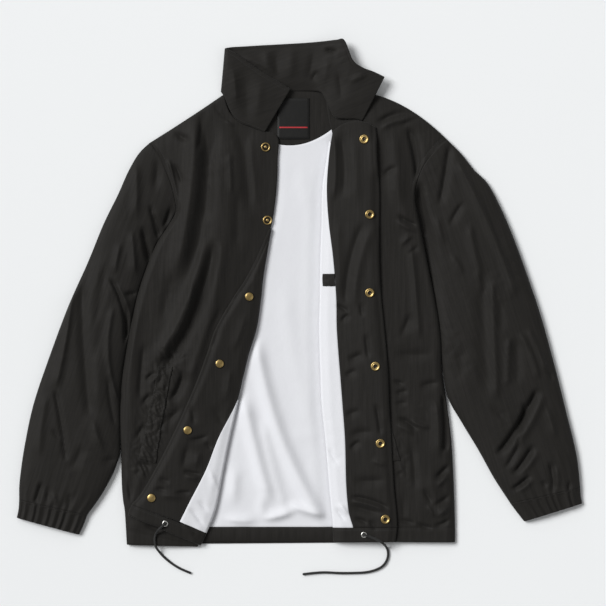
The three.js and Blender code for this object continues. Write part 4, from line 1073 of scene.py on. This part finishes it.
def cloth_material(name, colour, roughness, sheen, weave, wrinkle, gloss=0.5):
    """Cloth with a fine weave and small wrinkles in its surface, sized in turns of noise per metre."""
    material, shader = plain_material(name, colour, roughness)
    shader.inputs["Specular IOR Level"].default_value = gloss
    shader.inputs["Sheen Weight"].default_value = sheen
    shader.inputs["Sheen Roughness"].default_value = 0.35
    place = place_on_object(material)
    threads = add_node(material, "ShaderNodeTexNoise", Vector=place, Scale=weave, Detail=2.0)
    ripples = add_node(
        material, "ShaderNodeTexNoise", Vector=place, Scale=wrinkle, Detail=4.0, Roughness=0.55,
    )
    fine = add_node(
        material, "ShaderNodeBump", Height=threads.outputs["Fac"], Strength=0.25, Distance=0.0003,
    )
    rough = add_node(
        material, "ShaderNodeBump", Height=ripples.outputs["Fac"], Normal=fine.outputs["Normal"],
        Strength=0.4, Distance=0.0012,
    )
    material.node_tree.links.new(rough.outputs["Normal"], shader.inputs["Normal"])
    return material


def nylon(name="black_nylon_taffeta", grain=0.0):
    """Black nylon taffeta, woven tight and crisp: dull, with faint streaks along the threads of each piece.

    A thread is 0.2 mm wide and too fine to show, so the streaks are drawn 2 mm wide, as bands of threads.
    """
    material, shader = plain_material(name, "#1b1a18", 0.68)
    shader.inputs["Specular IOR Level"].default_value = 0.16
    shader.inputs["Sheen Weight"].default_value = 0.06
    shader.inputs["Sheen Roughness"].default_value = 0.5
    place = place_on_object(material)
    cut = add_node(material, "ShaderNodeMapping", Vector=place, Rotation=(0, 0, grain)).outputs["Vector"]
    band, draw = (
        add_node(
            material, "ShaderNodeTexNoise", Scale=1.0, Detail=detail,
            Vector=add_node(
                material, "ShaderNodeMapping", Vector=cut, Scale=(1 / wide, 1 / long, 1 / long)
            ).outputs["Vector"],
        )
        for wide, long, detail in ((0.0022, 0.045, 2.0), (0.009, 0.16, 3.0))
    )
    crumple = add_node(material, "ShaderNodeTexNoise", Vector=place, Scale=75.0, Detail=5.0, Roughness=0.6)
    mottle(material, shader, band, "#151411", "#242220")
    normal = None
    for height, distance in ((band, 0.00012), (draw, 0.0009), (crumple, 0.0008)):
        settings = {"Height": height.outputs["Fac"], "Strength": 0.5, "Distance": distance}
        if normal:
            settings["Normal"] = normal
        normal = add_node(material, "ShaderNodeBump", **settings).outputs["Normal"]
    material.node_tree.links.new(normal, shader.inputs["Normal"])
    return material


def lining_cloth():
    """White polyester lining, woven thin: matt, with a slight bluish cast."""
    return cloth_material("white_polyester_lining", "#dcdde1", 0.8, 0.1, 2200, 45)


def label_satin():
    """Black woven satin: smoother and a little glossier than the nylon round it."""
    return cloth_material("black_woven_satin", "#131312", 0.5, 0.05, 3000, 40, 0.25)


def thread_black():
    """Black polyester sewing thread, spun: matt."""
    return plain_material("black_sewing_thread", "#1a1a1a", 0.6)[0]


def thread_red():
    """Red rayon thread, woven into the label as a bar."""
    return plain_material("red_woven_bar", "#a8232a", 0.7)[0]


def old_brass():
    """Old brass plate on the snaps, stamped and rubbed: warm, and worn lighter in patches of about 4 mm."""
    material, shader = plain_material("old_brass_plate", "#a48a58", 0.36, 1.0)
    place = place_on_object(material)
    wear = add_node(material, "ShaderNodeTexNoise", Vector=place, Scale=260.0, Detail=3.0)
    mottle(material, shader, wear, "#7f683d", "#cfb57a")
    return material


def spring_metal_and_painted_shade():
    """A dark metal. In a snap socket's centre hollow it is partly the real spring and partly painted shade;
    in the stud's recessed ring it is painted shade, and round each back's rim it is a painted shadow ring.
    """
    return plain_material("dark_spring_metal_and_painted_shade", "#2a2621", 0.5, 0.8)[0]


def nickel():
    """Nickel plate on the eyelets, stamped and polished: bright and cool."""
    return plain_material("nickel_plate", "#d9d9d4", 0.25, 1.0)[0]


def braided_cord():
    """Polyester drawcord, braided round: matt, with a fine rough surface."""
    return cloth_material("black_braided_cord", "#171716", 0.75, 0.2, 900, 200)


def backdrop_paper():
    """White backdrop paper, uncoated: evenly matt."""
    return plain_material("white_backdrop_paper", "#eceeef", 0.9)[0]


# Turned metal parts, by their half sections: radius and height above the cloth
SOCKET_SECTION = [
    (0, 0), (7, 0), (7.4, 0.3), (7.3, 1.0), (6.8, 1.6), (6.0, 1.9), (5.2, 1.7), (4.6, 1.2), (4.2, 1.15),
    (3.7, 1.5), (3.3, 1.45), (3.0, 1.0), (2.9, 0.3), (2.0, 0.15), (0, 0.15),
]
STUD_SECTION = [
    (0, 0), (7, 0), (7.4, 0.3), (7.3, 0.9), (6.7, 1.4), (5.9, 1.45), (5.2, 1.0), (4.6, 0.4), (3.2, 0.3),
    (2.6, 0.4), (2.3, 1.4), (2.5, 2.8), (2.3, 3.4), (1.5, 3.8), (0, 3.9),
]
BACK_SECTION = [
    (0, 0), (7, 0), (7.4, 0.25), (7.2, 0.5), (6.4, 0.55), (6.2, 0.85), (5.6, 1.15), (4.2, 1.5), (2.4, 1.75),
    (0, 1.85),
]
# Which steps of each section get the dark metal: in the socket, the centre hollow (spring and painted
# shade); in the stud, the recessed ring (painted shade); in the back, the rim (a painted shadow ring)
SOCKET_SPRING_AND_SHADE = (10, 14)
STUD_PAINTED_SHADE = (6, 10)
BACK_PAINTED_SHADOW_RIM = (1, 4)
EYELET_SECTION = [(2.4, 0), (4.6, 0), (4.85, 0.3), (4.6, 0.8), (3.8, 1.05), (2.9, 0.9), (2.45, 0.4)]


def turned(name, section, sides, material, spring_and_shade_steps=None, spring_and_shade_material=None):
    """A solid of revolution about its own z, in millimetres, with a second, dark material on the steps
    given: painted shade in recesses and round rims, and a socket's spring.
    """
    points, rings, faces = [], [], []
    for radius, height in section:
        count = sides if radius else 1
        rings.append(len(points) + np.arange(sides) % count)
        for angle in 2 * math.pi * np.arange(count) / sides:
            points.append((radius * math.cos(angle), radius * math.sin(angle), height))
    closed = section[0][0] > 0
    for first, second in zip(rings, rings[1:] + rings[:1] * closed):
        for turn in range(sides):
            after = (turn + 1) % sides
            corners = (first[turn], first[after], second[after], second[turn])
            faces.append(list(dict.fromkeys(int(corner) for corner in corners)))
    mesh = bpy.data.meshes.new(name)
    mesh.from_pydata((np.array(points) / 1000).tolist(), [], faces)
    mesh.polygons.foreach_set("use_smooth", [True] * len(mesh.polygons))
    mesh.materials.append(material)
    if spring_and_shade_steps:
        mesh.materials.append(spring_and_shade_material)
        # These faces get the dark material as painted shade, and in a socket's centre as its spring too
        spring_and_shade_faces = [int(spring_and_shade_steps[0] <= face // sides < spring_and_shade_steps[1]) for face in range(len(mesh.polygons))]
        mesh.polygons.foreach_set("material_index", spring_and_shade_faces)
    made = add_object(name, mesh)
    turn_out(made)
    return made


def seat(made, at, height, lift=0.45, reach=7.0):
    """Sets a turned part on the cloth whose height is given, tilted with it. Gives back its height."""
    x, y = at
    feel_x = height(np.array([x - reach, x, x + reach]), np.full(3, float(y)))
    feel_y = height(np.full(2, float(x)), np.array([y - reach, y + reach]))
    slope = np.array([-(feel_x[2] - feel_x[0]), -(feel_y[1] - feel_y[0])]) / (2 * reach)
    normal = np.array([*slope, 1]) / np.linalg.norm([*slope, 1])
    level = max(feel_x[1], (feel_x[0] + feel_x[2]) / 2) + lift
    made.location = to_frame(np.array([x, y, level]))
    made.rotation_mode = "QUATERNION"
    made.rotation_quaternion = Vector((0, 0, 1)).rotation_difference(Vector(normal))
    return level


# The drawcord
CORD_STEP = 1.5
CORD_LIFT = 0.15
CORD_FEEL = 2.4  # how far to each side the cord feels what it lies on
OVER_EYELET = 3.6
ON_PANEL = 0.6
EYELET_BEND = ((0, 0.2), (0.15, 1.4), (1.1, 2.7))  # how far out and up the cord is as it leaves its eyelet


def cord_path(places, eyelet_level, covers):
    """The centre line of a cord end: up through its eyelet, over the hem and out along the surface."""
    flat = np.array(places, float)
    run = run_length(flat)
    even = np.linspace(0, run[-1], int(run[-1] / CORD_STEP))
    place = np.interp(even, run, np.arange(len(flat)))
    x, y = (column_at({"axis": flat[:, axis]}, "axis", place) for axis in (0, 1))
    highest = np.zeros_like(x)
    for dx, dy in ((0, 0), (CORD_FEEL, 0), (-CORD_FEEL, 0), (0, CORD_FEEL), (0, -CORD_FEEL)):
        for cover in covers:
            highest = np.maximum(highest, cover(x + dx, y + dy))
    eased = over_window(over_window(highest, np.max), np.mean)
    z = eased + CORD_RADIUS + CORD_LIFT
    z[2:5] = np.maximum(z[2:5], eyelet_level + OVER_EYELET)
    line = np.stack([x, y, z], 1)
    lean = (line[2, :2] - line[0, :2]) / np.linalg.norm(line[2, :2] - line[0, :2])
    bend = [[*(line[0, :2] + lean * out), eyelet_level + up] for out, up in EYELET_BEND]
    return np.concatenate([bend, line[2:]])


def over_window(values, measure, reach=3):
    """The maximum or mean of each value with its neighbours."""
    padded = np.pad(values, reach, mode="edge")
    return measure([padded[n:n + len(values)] for n in range(2 * reach + 1)], axis=0)


def height_under(height, rows, start, end, x, y):
    """The height of a panel where points lie within its edges, and 0 beside it."""
    on_x, on_y = ruled(rows, start, end, *place_on(rows, start, end, x, y))
    return np.where(np.hypot(on_x - x, on_y - y) < ON_PANEL, height(x, y), 0)


def tube_round(name, line, radius, material, sides=14):
    """A round tube along a line, flat at its start and with a soft cut end."""
    tangent = np.gradient(line, axis=0)
    tangent /= np.linalg.norm(tangent, axis=1, keepdims=True)
    side = np.array([1.0, 0, 0])
    angle = np.linspace(0, 2 * math.pi, sides, endpoint=False)[:, None]
    rings = []
    for at, along in zip(line, tangent):
        side = side - along * side.dot(along)
        side /= np.linalg.norm(side)
        other = np.cross(along, side)
        rings.append(at + radius * (np.cos(angle) * side + np.sin(angle) * other))
    soft_end = line[-1] + tangent[-1] * radius * 0.4
    rings.append(soft_end + (rings[-1] - line[-1]) * 0.6)
    points = np.concatenate([*rings, [line[0]], [soft_end + tangent[-1] * radius * 0.15]])
    count = len(rings)
    faces = []
    for row in range(count - 1):
        faces += quads_between(row * sides, (row + 1) * sides, sides, True)
    first, last = count * sides, count * sides + 1
    for turn in range(sides):
        after = (turn + 1) % sides
        faces.append([first, turn, after])
        faces.append([last, (count - 1) * sides + after, (count - 1) * sides + turn])
    made = add_mesh(name, points, faces, material)
    turn_out(made)
    return made


# Stitches
STITCH = {"spacing": 3.4, "long": 2.3, "thick": 0.32, "sink": 0.12}
WELT_INSET = 1.8
CASING_STITCH_ROW = 0.25
NEARLY_ALL = np.linspace(0.02, 0.98, 160)


def stitches(name, runs, material):
    """Short raised threads along runs of points on the cloth, all in one mesh."""
    points, faces = [], []
    for run in runs:
        run = np.asarray(run, float)
        length = run_length(run)
        starts = np.arange(STITCH["spacing"] / 2, length[-1] - STITCH["long"], STITCH["spacing"])
        first, last = (
            np.stack([np.interp(starts + ahead, length, run[:, axis]) for axis in range(3)], 1)
            for ahead in (0, STITCH["long"])
        )
        for near, far in zip(first, last):
            add_stitch(points, faces, near, far)
    made = add_mesh(name, points, faces, material)
    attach(made, "root")


def add_stitch(points, faces, near, far):
    """One thread from near to far: a half-round ridge with tapered ends."""
    along = (far - near) / np.linalg.norm(far - near)
    side = np.cross(along, [0, 0, 1.0])
    side /= np.linalg.norm(side)
    base = len(points)
    for share, swell in ((0, 0.3), (0.2, 1), (0.8, 1), (1, 0.3)):
        at = mix(near, far, share) - [0, 0, STITCH["sink"]]
        for turn in (0, math.pi / 3, 2 * math.pi / 3, math.pi):
            reach = STITCH["thick"] * swell
            points.append(at + side * math.cos(turn) * reach + [0, 0, math.sin(turn) * reach])
    for row in range(3):
        for turn in range(3):
            corner = base + row * 4 + turn
            faces.append([corner, corner + 4, corner + 5, corner + 1])


def along_panel(rows, start, end, places, inset, height):
    """Points on a panel at an inset from its end edge or, where that is negative, from its start edge."""
    width = width_at(rows, start, end, places)
    x, y = ruled(rows, start, end, places, 1 - inset / width if inset > 0 else -inset / width)
    return np.stack([x, y, height(x, y)], 1)


def across_panel(rows, start, end, place, shares, height):
    """Points on a panel's surface straight across it at one place."""
    x, y = ruled(rows, start, end, np.full_like(shares, place), shares)
    return np.stack([x, y, height(x, y)], 1)


def build_stitches(thread):
    """The seams that show: facings, drawcord casing, armholes and pocket welts."""
    runs = []
    for side, part in SIDES.items():
        turn, last = part["turn"], part["hem_row"]
        on_turn, on_front = partial(turn_top, side), partial(front_at, side)
        down = np.linspace(part["stitched_from"], last - 0.1, 260)
        runs.append(along_panel(turn, "seam", "edge", down, STITCH_INSET, on_turn))
        runs.append(along_panel(turn, "seam", "edge", down[down > 2], -2.0, on_turn))
        runs.append(across_panel(turn, "fold", "edge", last + 0.16, np.linspace(0.03, 0.97, 80), on_turn))
        armhole = np.linspace(0.3, ARMPIT_ROW - 0.8, 120)
        runs.append(along_panel(part["rows"], "edge", "side", armhole, STITCH_INSET, on_front))
        runs.append(casing_run(part, on_front))
        for inset in (WELT_INSET, -WELT_INSET):
            run = along_panel(part["welt"], "edge", "side", np.linspace(0.04, 1.96, 90), inset, on_front)
            runs.append(run + [0, 0, part["welt_gap"] + part["welt_wall"]])

    def on_casing(x, y):
        return casing_height(x, np.full_like(x, CASING_STITCH_ROW))

    runs.append(across_panel(HEM_CASING, "edge", "side", CASING_STITCH_ROW, NEARLY_ALL, on_casing))
    stitches("seam_stitches", runs, thread)


def casing_run(part, height):
    """The stitched line at the top of the drawcord casing on a front, as far as it shows."""
    rows = part["rows"]
    fine = np.linspace(0, len(rows["side_y"]) - 1, 900)
    place = fine[np.argmin(np.abs(casing_inset(rows, fine) - CASING_DEPTH))]
    run = across_panel(rows, "edge", "side", place, NEARLY_ALL, height)
    return run[outside_turn(part["turn"], run[:, 0], run[:, 1], part["towards"]) > 2]


# Putting the jacket together
TURNED_LOW = REST_HEIGHT + LINING_WALL + SEAM_GAP
JOIN = 0.014  # half the gap between facing and hem casing, in rows


def place_piece(made, node):
    """Lets a piece stand for its node: hangs it under the root and hides its node's solid."""
    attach(made, "root")
    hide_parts(node)


def place_cloth(node, grid, wall, material, floor=REST_HEIGHT, wraps=False):
    place_piece(cloth(f"{node}_cloth", grid, wall, material, floor, wraps), node)


def build_body(black, white):
    """The fronts and what is turned back onto them."""
    for side in SIDES:
        place_cloth(f"front_{side}", front_grid(side), SHELL_WALL, black)
    for side, part in SIDES.items():
        last = part["hem_row"]
        grid = turn_grid(side, "seam", "edge", 0.0, last - JOIN, part["facing_width"])
        place_cloth(f"facing_{side}", grid, TURNED_WALL, black, TURNED_LOW)
        grid = turn_grid(side, "fold", "edge", last + JOIN, last + 1, CASING_WIDTH)
        place_cloth(f"hem_casing_{side}", grid, TURNED_WALL, black, TURNED_LOW)
        first, inset = part["lining_from"], SEAM_GAP * 1.5
        grid = turn_grid(side, "fold", "seam", first, last - JOIN, STRIP_WIDTH, inset)
        place_cloth(f"lining_{side}", grid, LINING_WALL, white, TURNED_LOW)


def build_back(black):
    """The back panel lies flat under everything, so it keeps the shape of its solid."""
    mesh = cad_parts["back"].data.copy()
    mesh.name = "back_cloth"
    mesh.materials.clear()
    mesh.materials.append(black)
    place_piece(add_object("back_cloth", mesh), "back")


def build_inside(black, white):
    """The back's lining, the neck facing, which tucks in under the collar, and the back's hem casing."""
    grid = lying_grid(LINING_BACK, GRAIN * 1.4, lambda x, y, place: lining_top(x, y))
    place_cloth("lining_back", grid, LINING_WALL, white)
    top = REST_HEIGHT + SHELL_WALL
    grid = lying_grid(NECK_FACING, GRAIN, lambda x, y, place: np.full_like(x, top))
    into_seam = smooth(1 - np.arange(len(grid)) / 3)[:, None]
    grid[..., 1] += (1.7 + 1.5 * bump(grid[..., 0] - 31, 9)) * into_seam
    grid[..., 2] -= 0.6 * into_seam
    place_cloth("neck_facing", grid, SHELL_WALL, black)
    grid = lying_grid(HEM_CASING, GRAIN * 0.8, lambda x, y, place: casing_height(x, place))
    place_cloth("hem_casing_back", grid, SHELL_WALL, black)


def casing_height(x, place):
    """The cord in the casing raises it, with little gathers along it."""
    ripple = 0.5 * gradient_noise(x / 9, place * 0 + 3.7, SEED + 5)
    return REST_HEIGHT + SHELL_WALL + (1.4 + ripple) * np.sin(np.pi * np.clip(place / 2, 0, 1))


def build_welts(black):
    """The pocket welts, each a puckered strip that lies a gap above the cloth under it."""
    for name, rows, height, wall, gap in (
        *(
            (f"pocket_welt_{side}", part["welt"], partial(front_at, side), part["welt_wall"],
             part["welt_gap"])
            for side, part in SIDES.items()
        ),
        ("inner_pocket_welt", INNER_WELT, partial(turn_top, "left"), TRIM_WALL, SEAM_GAP),
    ):
        place, across = np.meshgrid(all_places(rows, GRAIN * 0.7), evenly(WELT_WIDTH, 0.6), indexing="ij")
        x, y = ruled(rows, "edge", "side", place, across)
        x = x + 2.2 * gradient_noise(y / 24, across * 0.4, SEED + 21)
        swell = np.sin(np.pi * across) ** 0.7
        bent = y / 6.5 + 1.2 * across + 1.5 * sized_noise(x, y, 18, 18, SEED + 8)
        pucker = 1.6 * np.abs(gradient_noise(bent, across * 0.9, SEED + 7))
        z = height(x, y) + gap + wall + pucker * swell
        place_cloth(name, np.stack([x, y, z], -1), wall, black)


def build_collar(thread):
    """The collar and the two stitched lines that follow its edges."""
    grid = collar_grid()
    place_cloth("collar", grid, COLLAR_WALL, nylon("black_nylon_collar", 1.2), 0.0)
    width = np.linalg.norm(grid[:, -1] - grid[:, 0], axis=-1)
    columns = grid.shape[1] - 1
    row = np.arange(len(grid))
    runs = []
    for inset in (STITCH_INSET, width - 3):
        place = columns * (1 - inset / width)
        low = np.clip(np.floor(place).astype(int), 0, columns - 1)
        runs.append(mix(grid[row, low], grid[row, low + 1], (place - low)[:, None])[3:-3])
    stitches("collar_stitches", runs, thread)


def build_sleeves():
    """The sleeves and cuffs. The thread of each sleeve's cloth runs down its arm."""
    for side, rows, folds, cuff, grain in (
        ("right", SLEEVE_RIGHT, FOLDS_SLEEVE_RIGHT, CUFF_RIGHT, 0.3),
        ("left", SLEEVE_LEFT, FOLDS_SLEEVE_LEFT, CUFF_LEFT, -0.3),
    ):
        black = nylon(f"black_nylon_sleeve_{side}", grain)
        place_cloth(f"sleeve_{side}", sleeve_grid(side, rows, folds), SHELL_WALL, black, 0.0, True)
        place_cloth(f"cuff_{side}", cuff_grid(side, cuff), SHELL_WALL, black, 0.0, True)


def build_label():
    """A plain label with one woven bar."""
    left, right, top, bottom = (LABEL[key] for key in ("left", "right", "top", "bottom"))
    level = REST_HEIGHT + SHELL_WALL + SEAM_GAP + TRIM_WALL

    def patch(name, x_range, y_range, height, wall, material):
        x, y = np.meshgrid(np.linspace(*x_range, 14), np.linspace(*y_range, 16))
        z = height + 0.25 * np.sin(np.pi * (x - left) / (right - left))
        return cloth(name, np.stack([x, y, z], -1), wall, material, REST_HEIGHT)

    made = patch("label_cloth", (left, right), (top, bottom), level, TRIM_WALL, label_satin())
    place_piece(made, "label")
    bar_x = (left + LABEL["bar_inset"], right - LABEL["bar_inset"])
    bar_y = (LABEL["bar_top"], LABEL["bar_bottom"])
    bar = patch("label_bar", bar_x, bar_y, level + LABEL["bar_lift"], LABEL["bar_wall"], thread_red())
    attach(bar, "root")


def build_metal():
    """The snaps and the eyelets. Gives back how high each eyelet is."""
    brass, dark_spring_and_shade, silver = old_brass(), spring_metal_and_painted_shade(), nickel()
    for kind, places, section, spring_and_shade_steps, height in (
        ("snap_socket", SOCKETS, SOCKET_SECTION, SOCKET_SPRING_AND_SHADE, partial(turn_top, "left")),
        ("snap_stud", STUDS, STUD_SECTION, STUD_PAINTED_SHADE, partial(front_at, "right")),
        ("snap_back", SNAP_BACKS, BACK_SECTION, BACK_PAINTED_SHADOW_RIM, partial(turn_top, "right")),
    ):
        for number, at in enumerate(places, 1):
            # Each snap gets the dark metal on its listed steps: painted shade in recesses, a painted shadow
            # ring round the backs, and a socket's spring
            made = turned(f"{kind}_metal_{number}", section, 40, brass, spring_and_shade_steps, dark_spring_and_shade)
            seat(made, at, height)
            place_piece(made, f"{kind}_{number}")
    levels = {}
    for side in SIDES:
        made = turned(f"eyelet_metal_{side}", EYELET_SECTION, 32, silver)
        levels[side] = seat(made, EYELETS[side], partial(turn_top, side))
        place_piece(made, f"eyelet_{side}")
    return levels


def build_cords(levels):
    """The two free ends of the drawcord, which lie over the hem and out along the surface."""
    material = braided_cord()
    for side, places in (("right", CORD_RIGHT), ("left", CORD_LEFT)):
        part = SIDES[side]
        covers = [
            partial(height_under, partial(turn_top, side), part["turn"], "fold", "edge"),
            partial(height_under, partial(front_at, side), part["rows"], "edge", "side"),
        ]
        line = cord_path(places, levels[side], covers)
        made = tube_round(f"cord_{side}_braid", line, CORD_RADIUS, material)
        place_piece(made, f"cord_{side}")


# The surface, the light and the camera, in metres
PHOTO_WIDTH = 0.9696
PHOTO_MIDDLE = (0.0056, -0.0160)
CAMERA_HEIGHT = 5.0
SENSOR_WIDTH = 36
SUN_FROM = (-2.9, 1.6, 3.3)
SUN_STRENGTH = 2.9
SUN_ANGLE = 0.5
SKY_STRENGTH = 0.27
# Each weak light: where it stands, what it points at, its size, and its power in watts
WEAK_LIGHTS = {
    "near_top": ((-1.2, 2.6, 2.2), (-0.2, 0.5, 0), 2.0, 14),
    "fill_right": ((2.6, -0.8, 2.6), (0, 0, 0), 2.4, 8),
}
BACKDROP_SIZE = 8
BACKDROP_LEVEL = -0.0004  # just under the jacket, so that the two don't share a plane


def build_stage():
    bpy.ops.mesh.primitive_plane_add(size=BACKDROP_SIZE, location=(0, 0, BACKDROP_LEVEL))
    floor = bpy.context.object
    floor.name = "backdrop"
    floor.data.materials.append(backdrop_paper())


def add_area(name, location, target, size, power):
    light = bpy.data.lights.new(name, "AREA")
    light.energy = power
    light.size = size
    made = add_object(name, light, location)
    made.rotation_euler = (Vector(target) - Vector(location)).to_track_quat("-Z", "Y").to_euler()


def build_light():
    """A broad soft light from the upper left, and weak ones for the backdrop's top and the shadow sides."""
    sun = bpy.data.lights.new("soft_key", "SUN")
    sun.energy = SUN_STRENGTH
    sun.angle = SUN_ANGLE
    add_object("soft_key", sun).rotation_euler = Vector(SUN_FROM).to_track_quat("Z", "Y").to_euler()
    for name, settings in WEAK_LIGHTS.items():
        add_area(name, *settings)
    world = bpy.data.worlds.new("studio")
    world.use_nodes = True
    sky = world.node_tree.nodes["Background"].inputs
    sky["Color"].default_value = (1, 1, 1, 1)
    sky["Strength"].default_value = SKY_STRENGTH
    bpy.context.scene.world = world


def build_camera():
    """A camera straight above, so high that it shows the jacket almost without perspective."""
    data = bpy.data.cameras.new("photo_camera")
    data.sensor_width = SENSOR_WIDTH
    data.lens = SENSOR_WIDTH * CAMERA_HEIGHT / PHOTO_WIDTH
    bpy.context.scene.camera = add_object("photo_camera", data, (*PHOTO_MIDDLE, CAMERA_HEIGHT))


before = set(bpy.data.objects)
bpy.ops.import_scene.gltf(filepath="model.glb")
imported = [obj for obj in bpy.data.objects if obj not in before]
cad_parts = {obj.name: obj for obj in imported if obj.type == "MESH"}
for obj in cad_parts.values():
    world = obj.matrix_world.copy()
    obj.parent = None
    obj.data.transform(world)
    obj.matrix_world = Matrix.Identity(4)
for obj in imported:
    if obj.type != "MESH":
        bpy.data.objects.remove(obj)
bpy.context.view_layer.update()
black, white, thread = nylon(), lining_cloth(), thread_black()
build_camera()
build_light()
build_stage()
build_body(black, white)
build_back(black)
build_inside(black, white)
build_welts(black)
build_collar(thread)
build_sleeves()
build_label()
build_stitches(thread)
build_cords(build_metal())
bpy.context.scene.view_settings.view_transform = "Standard"
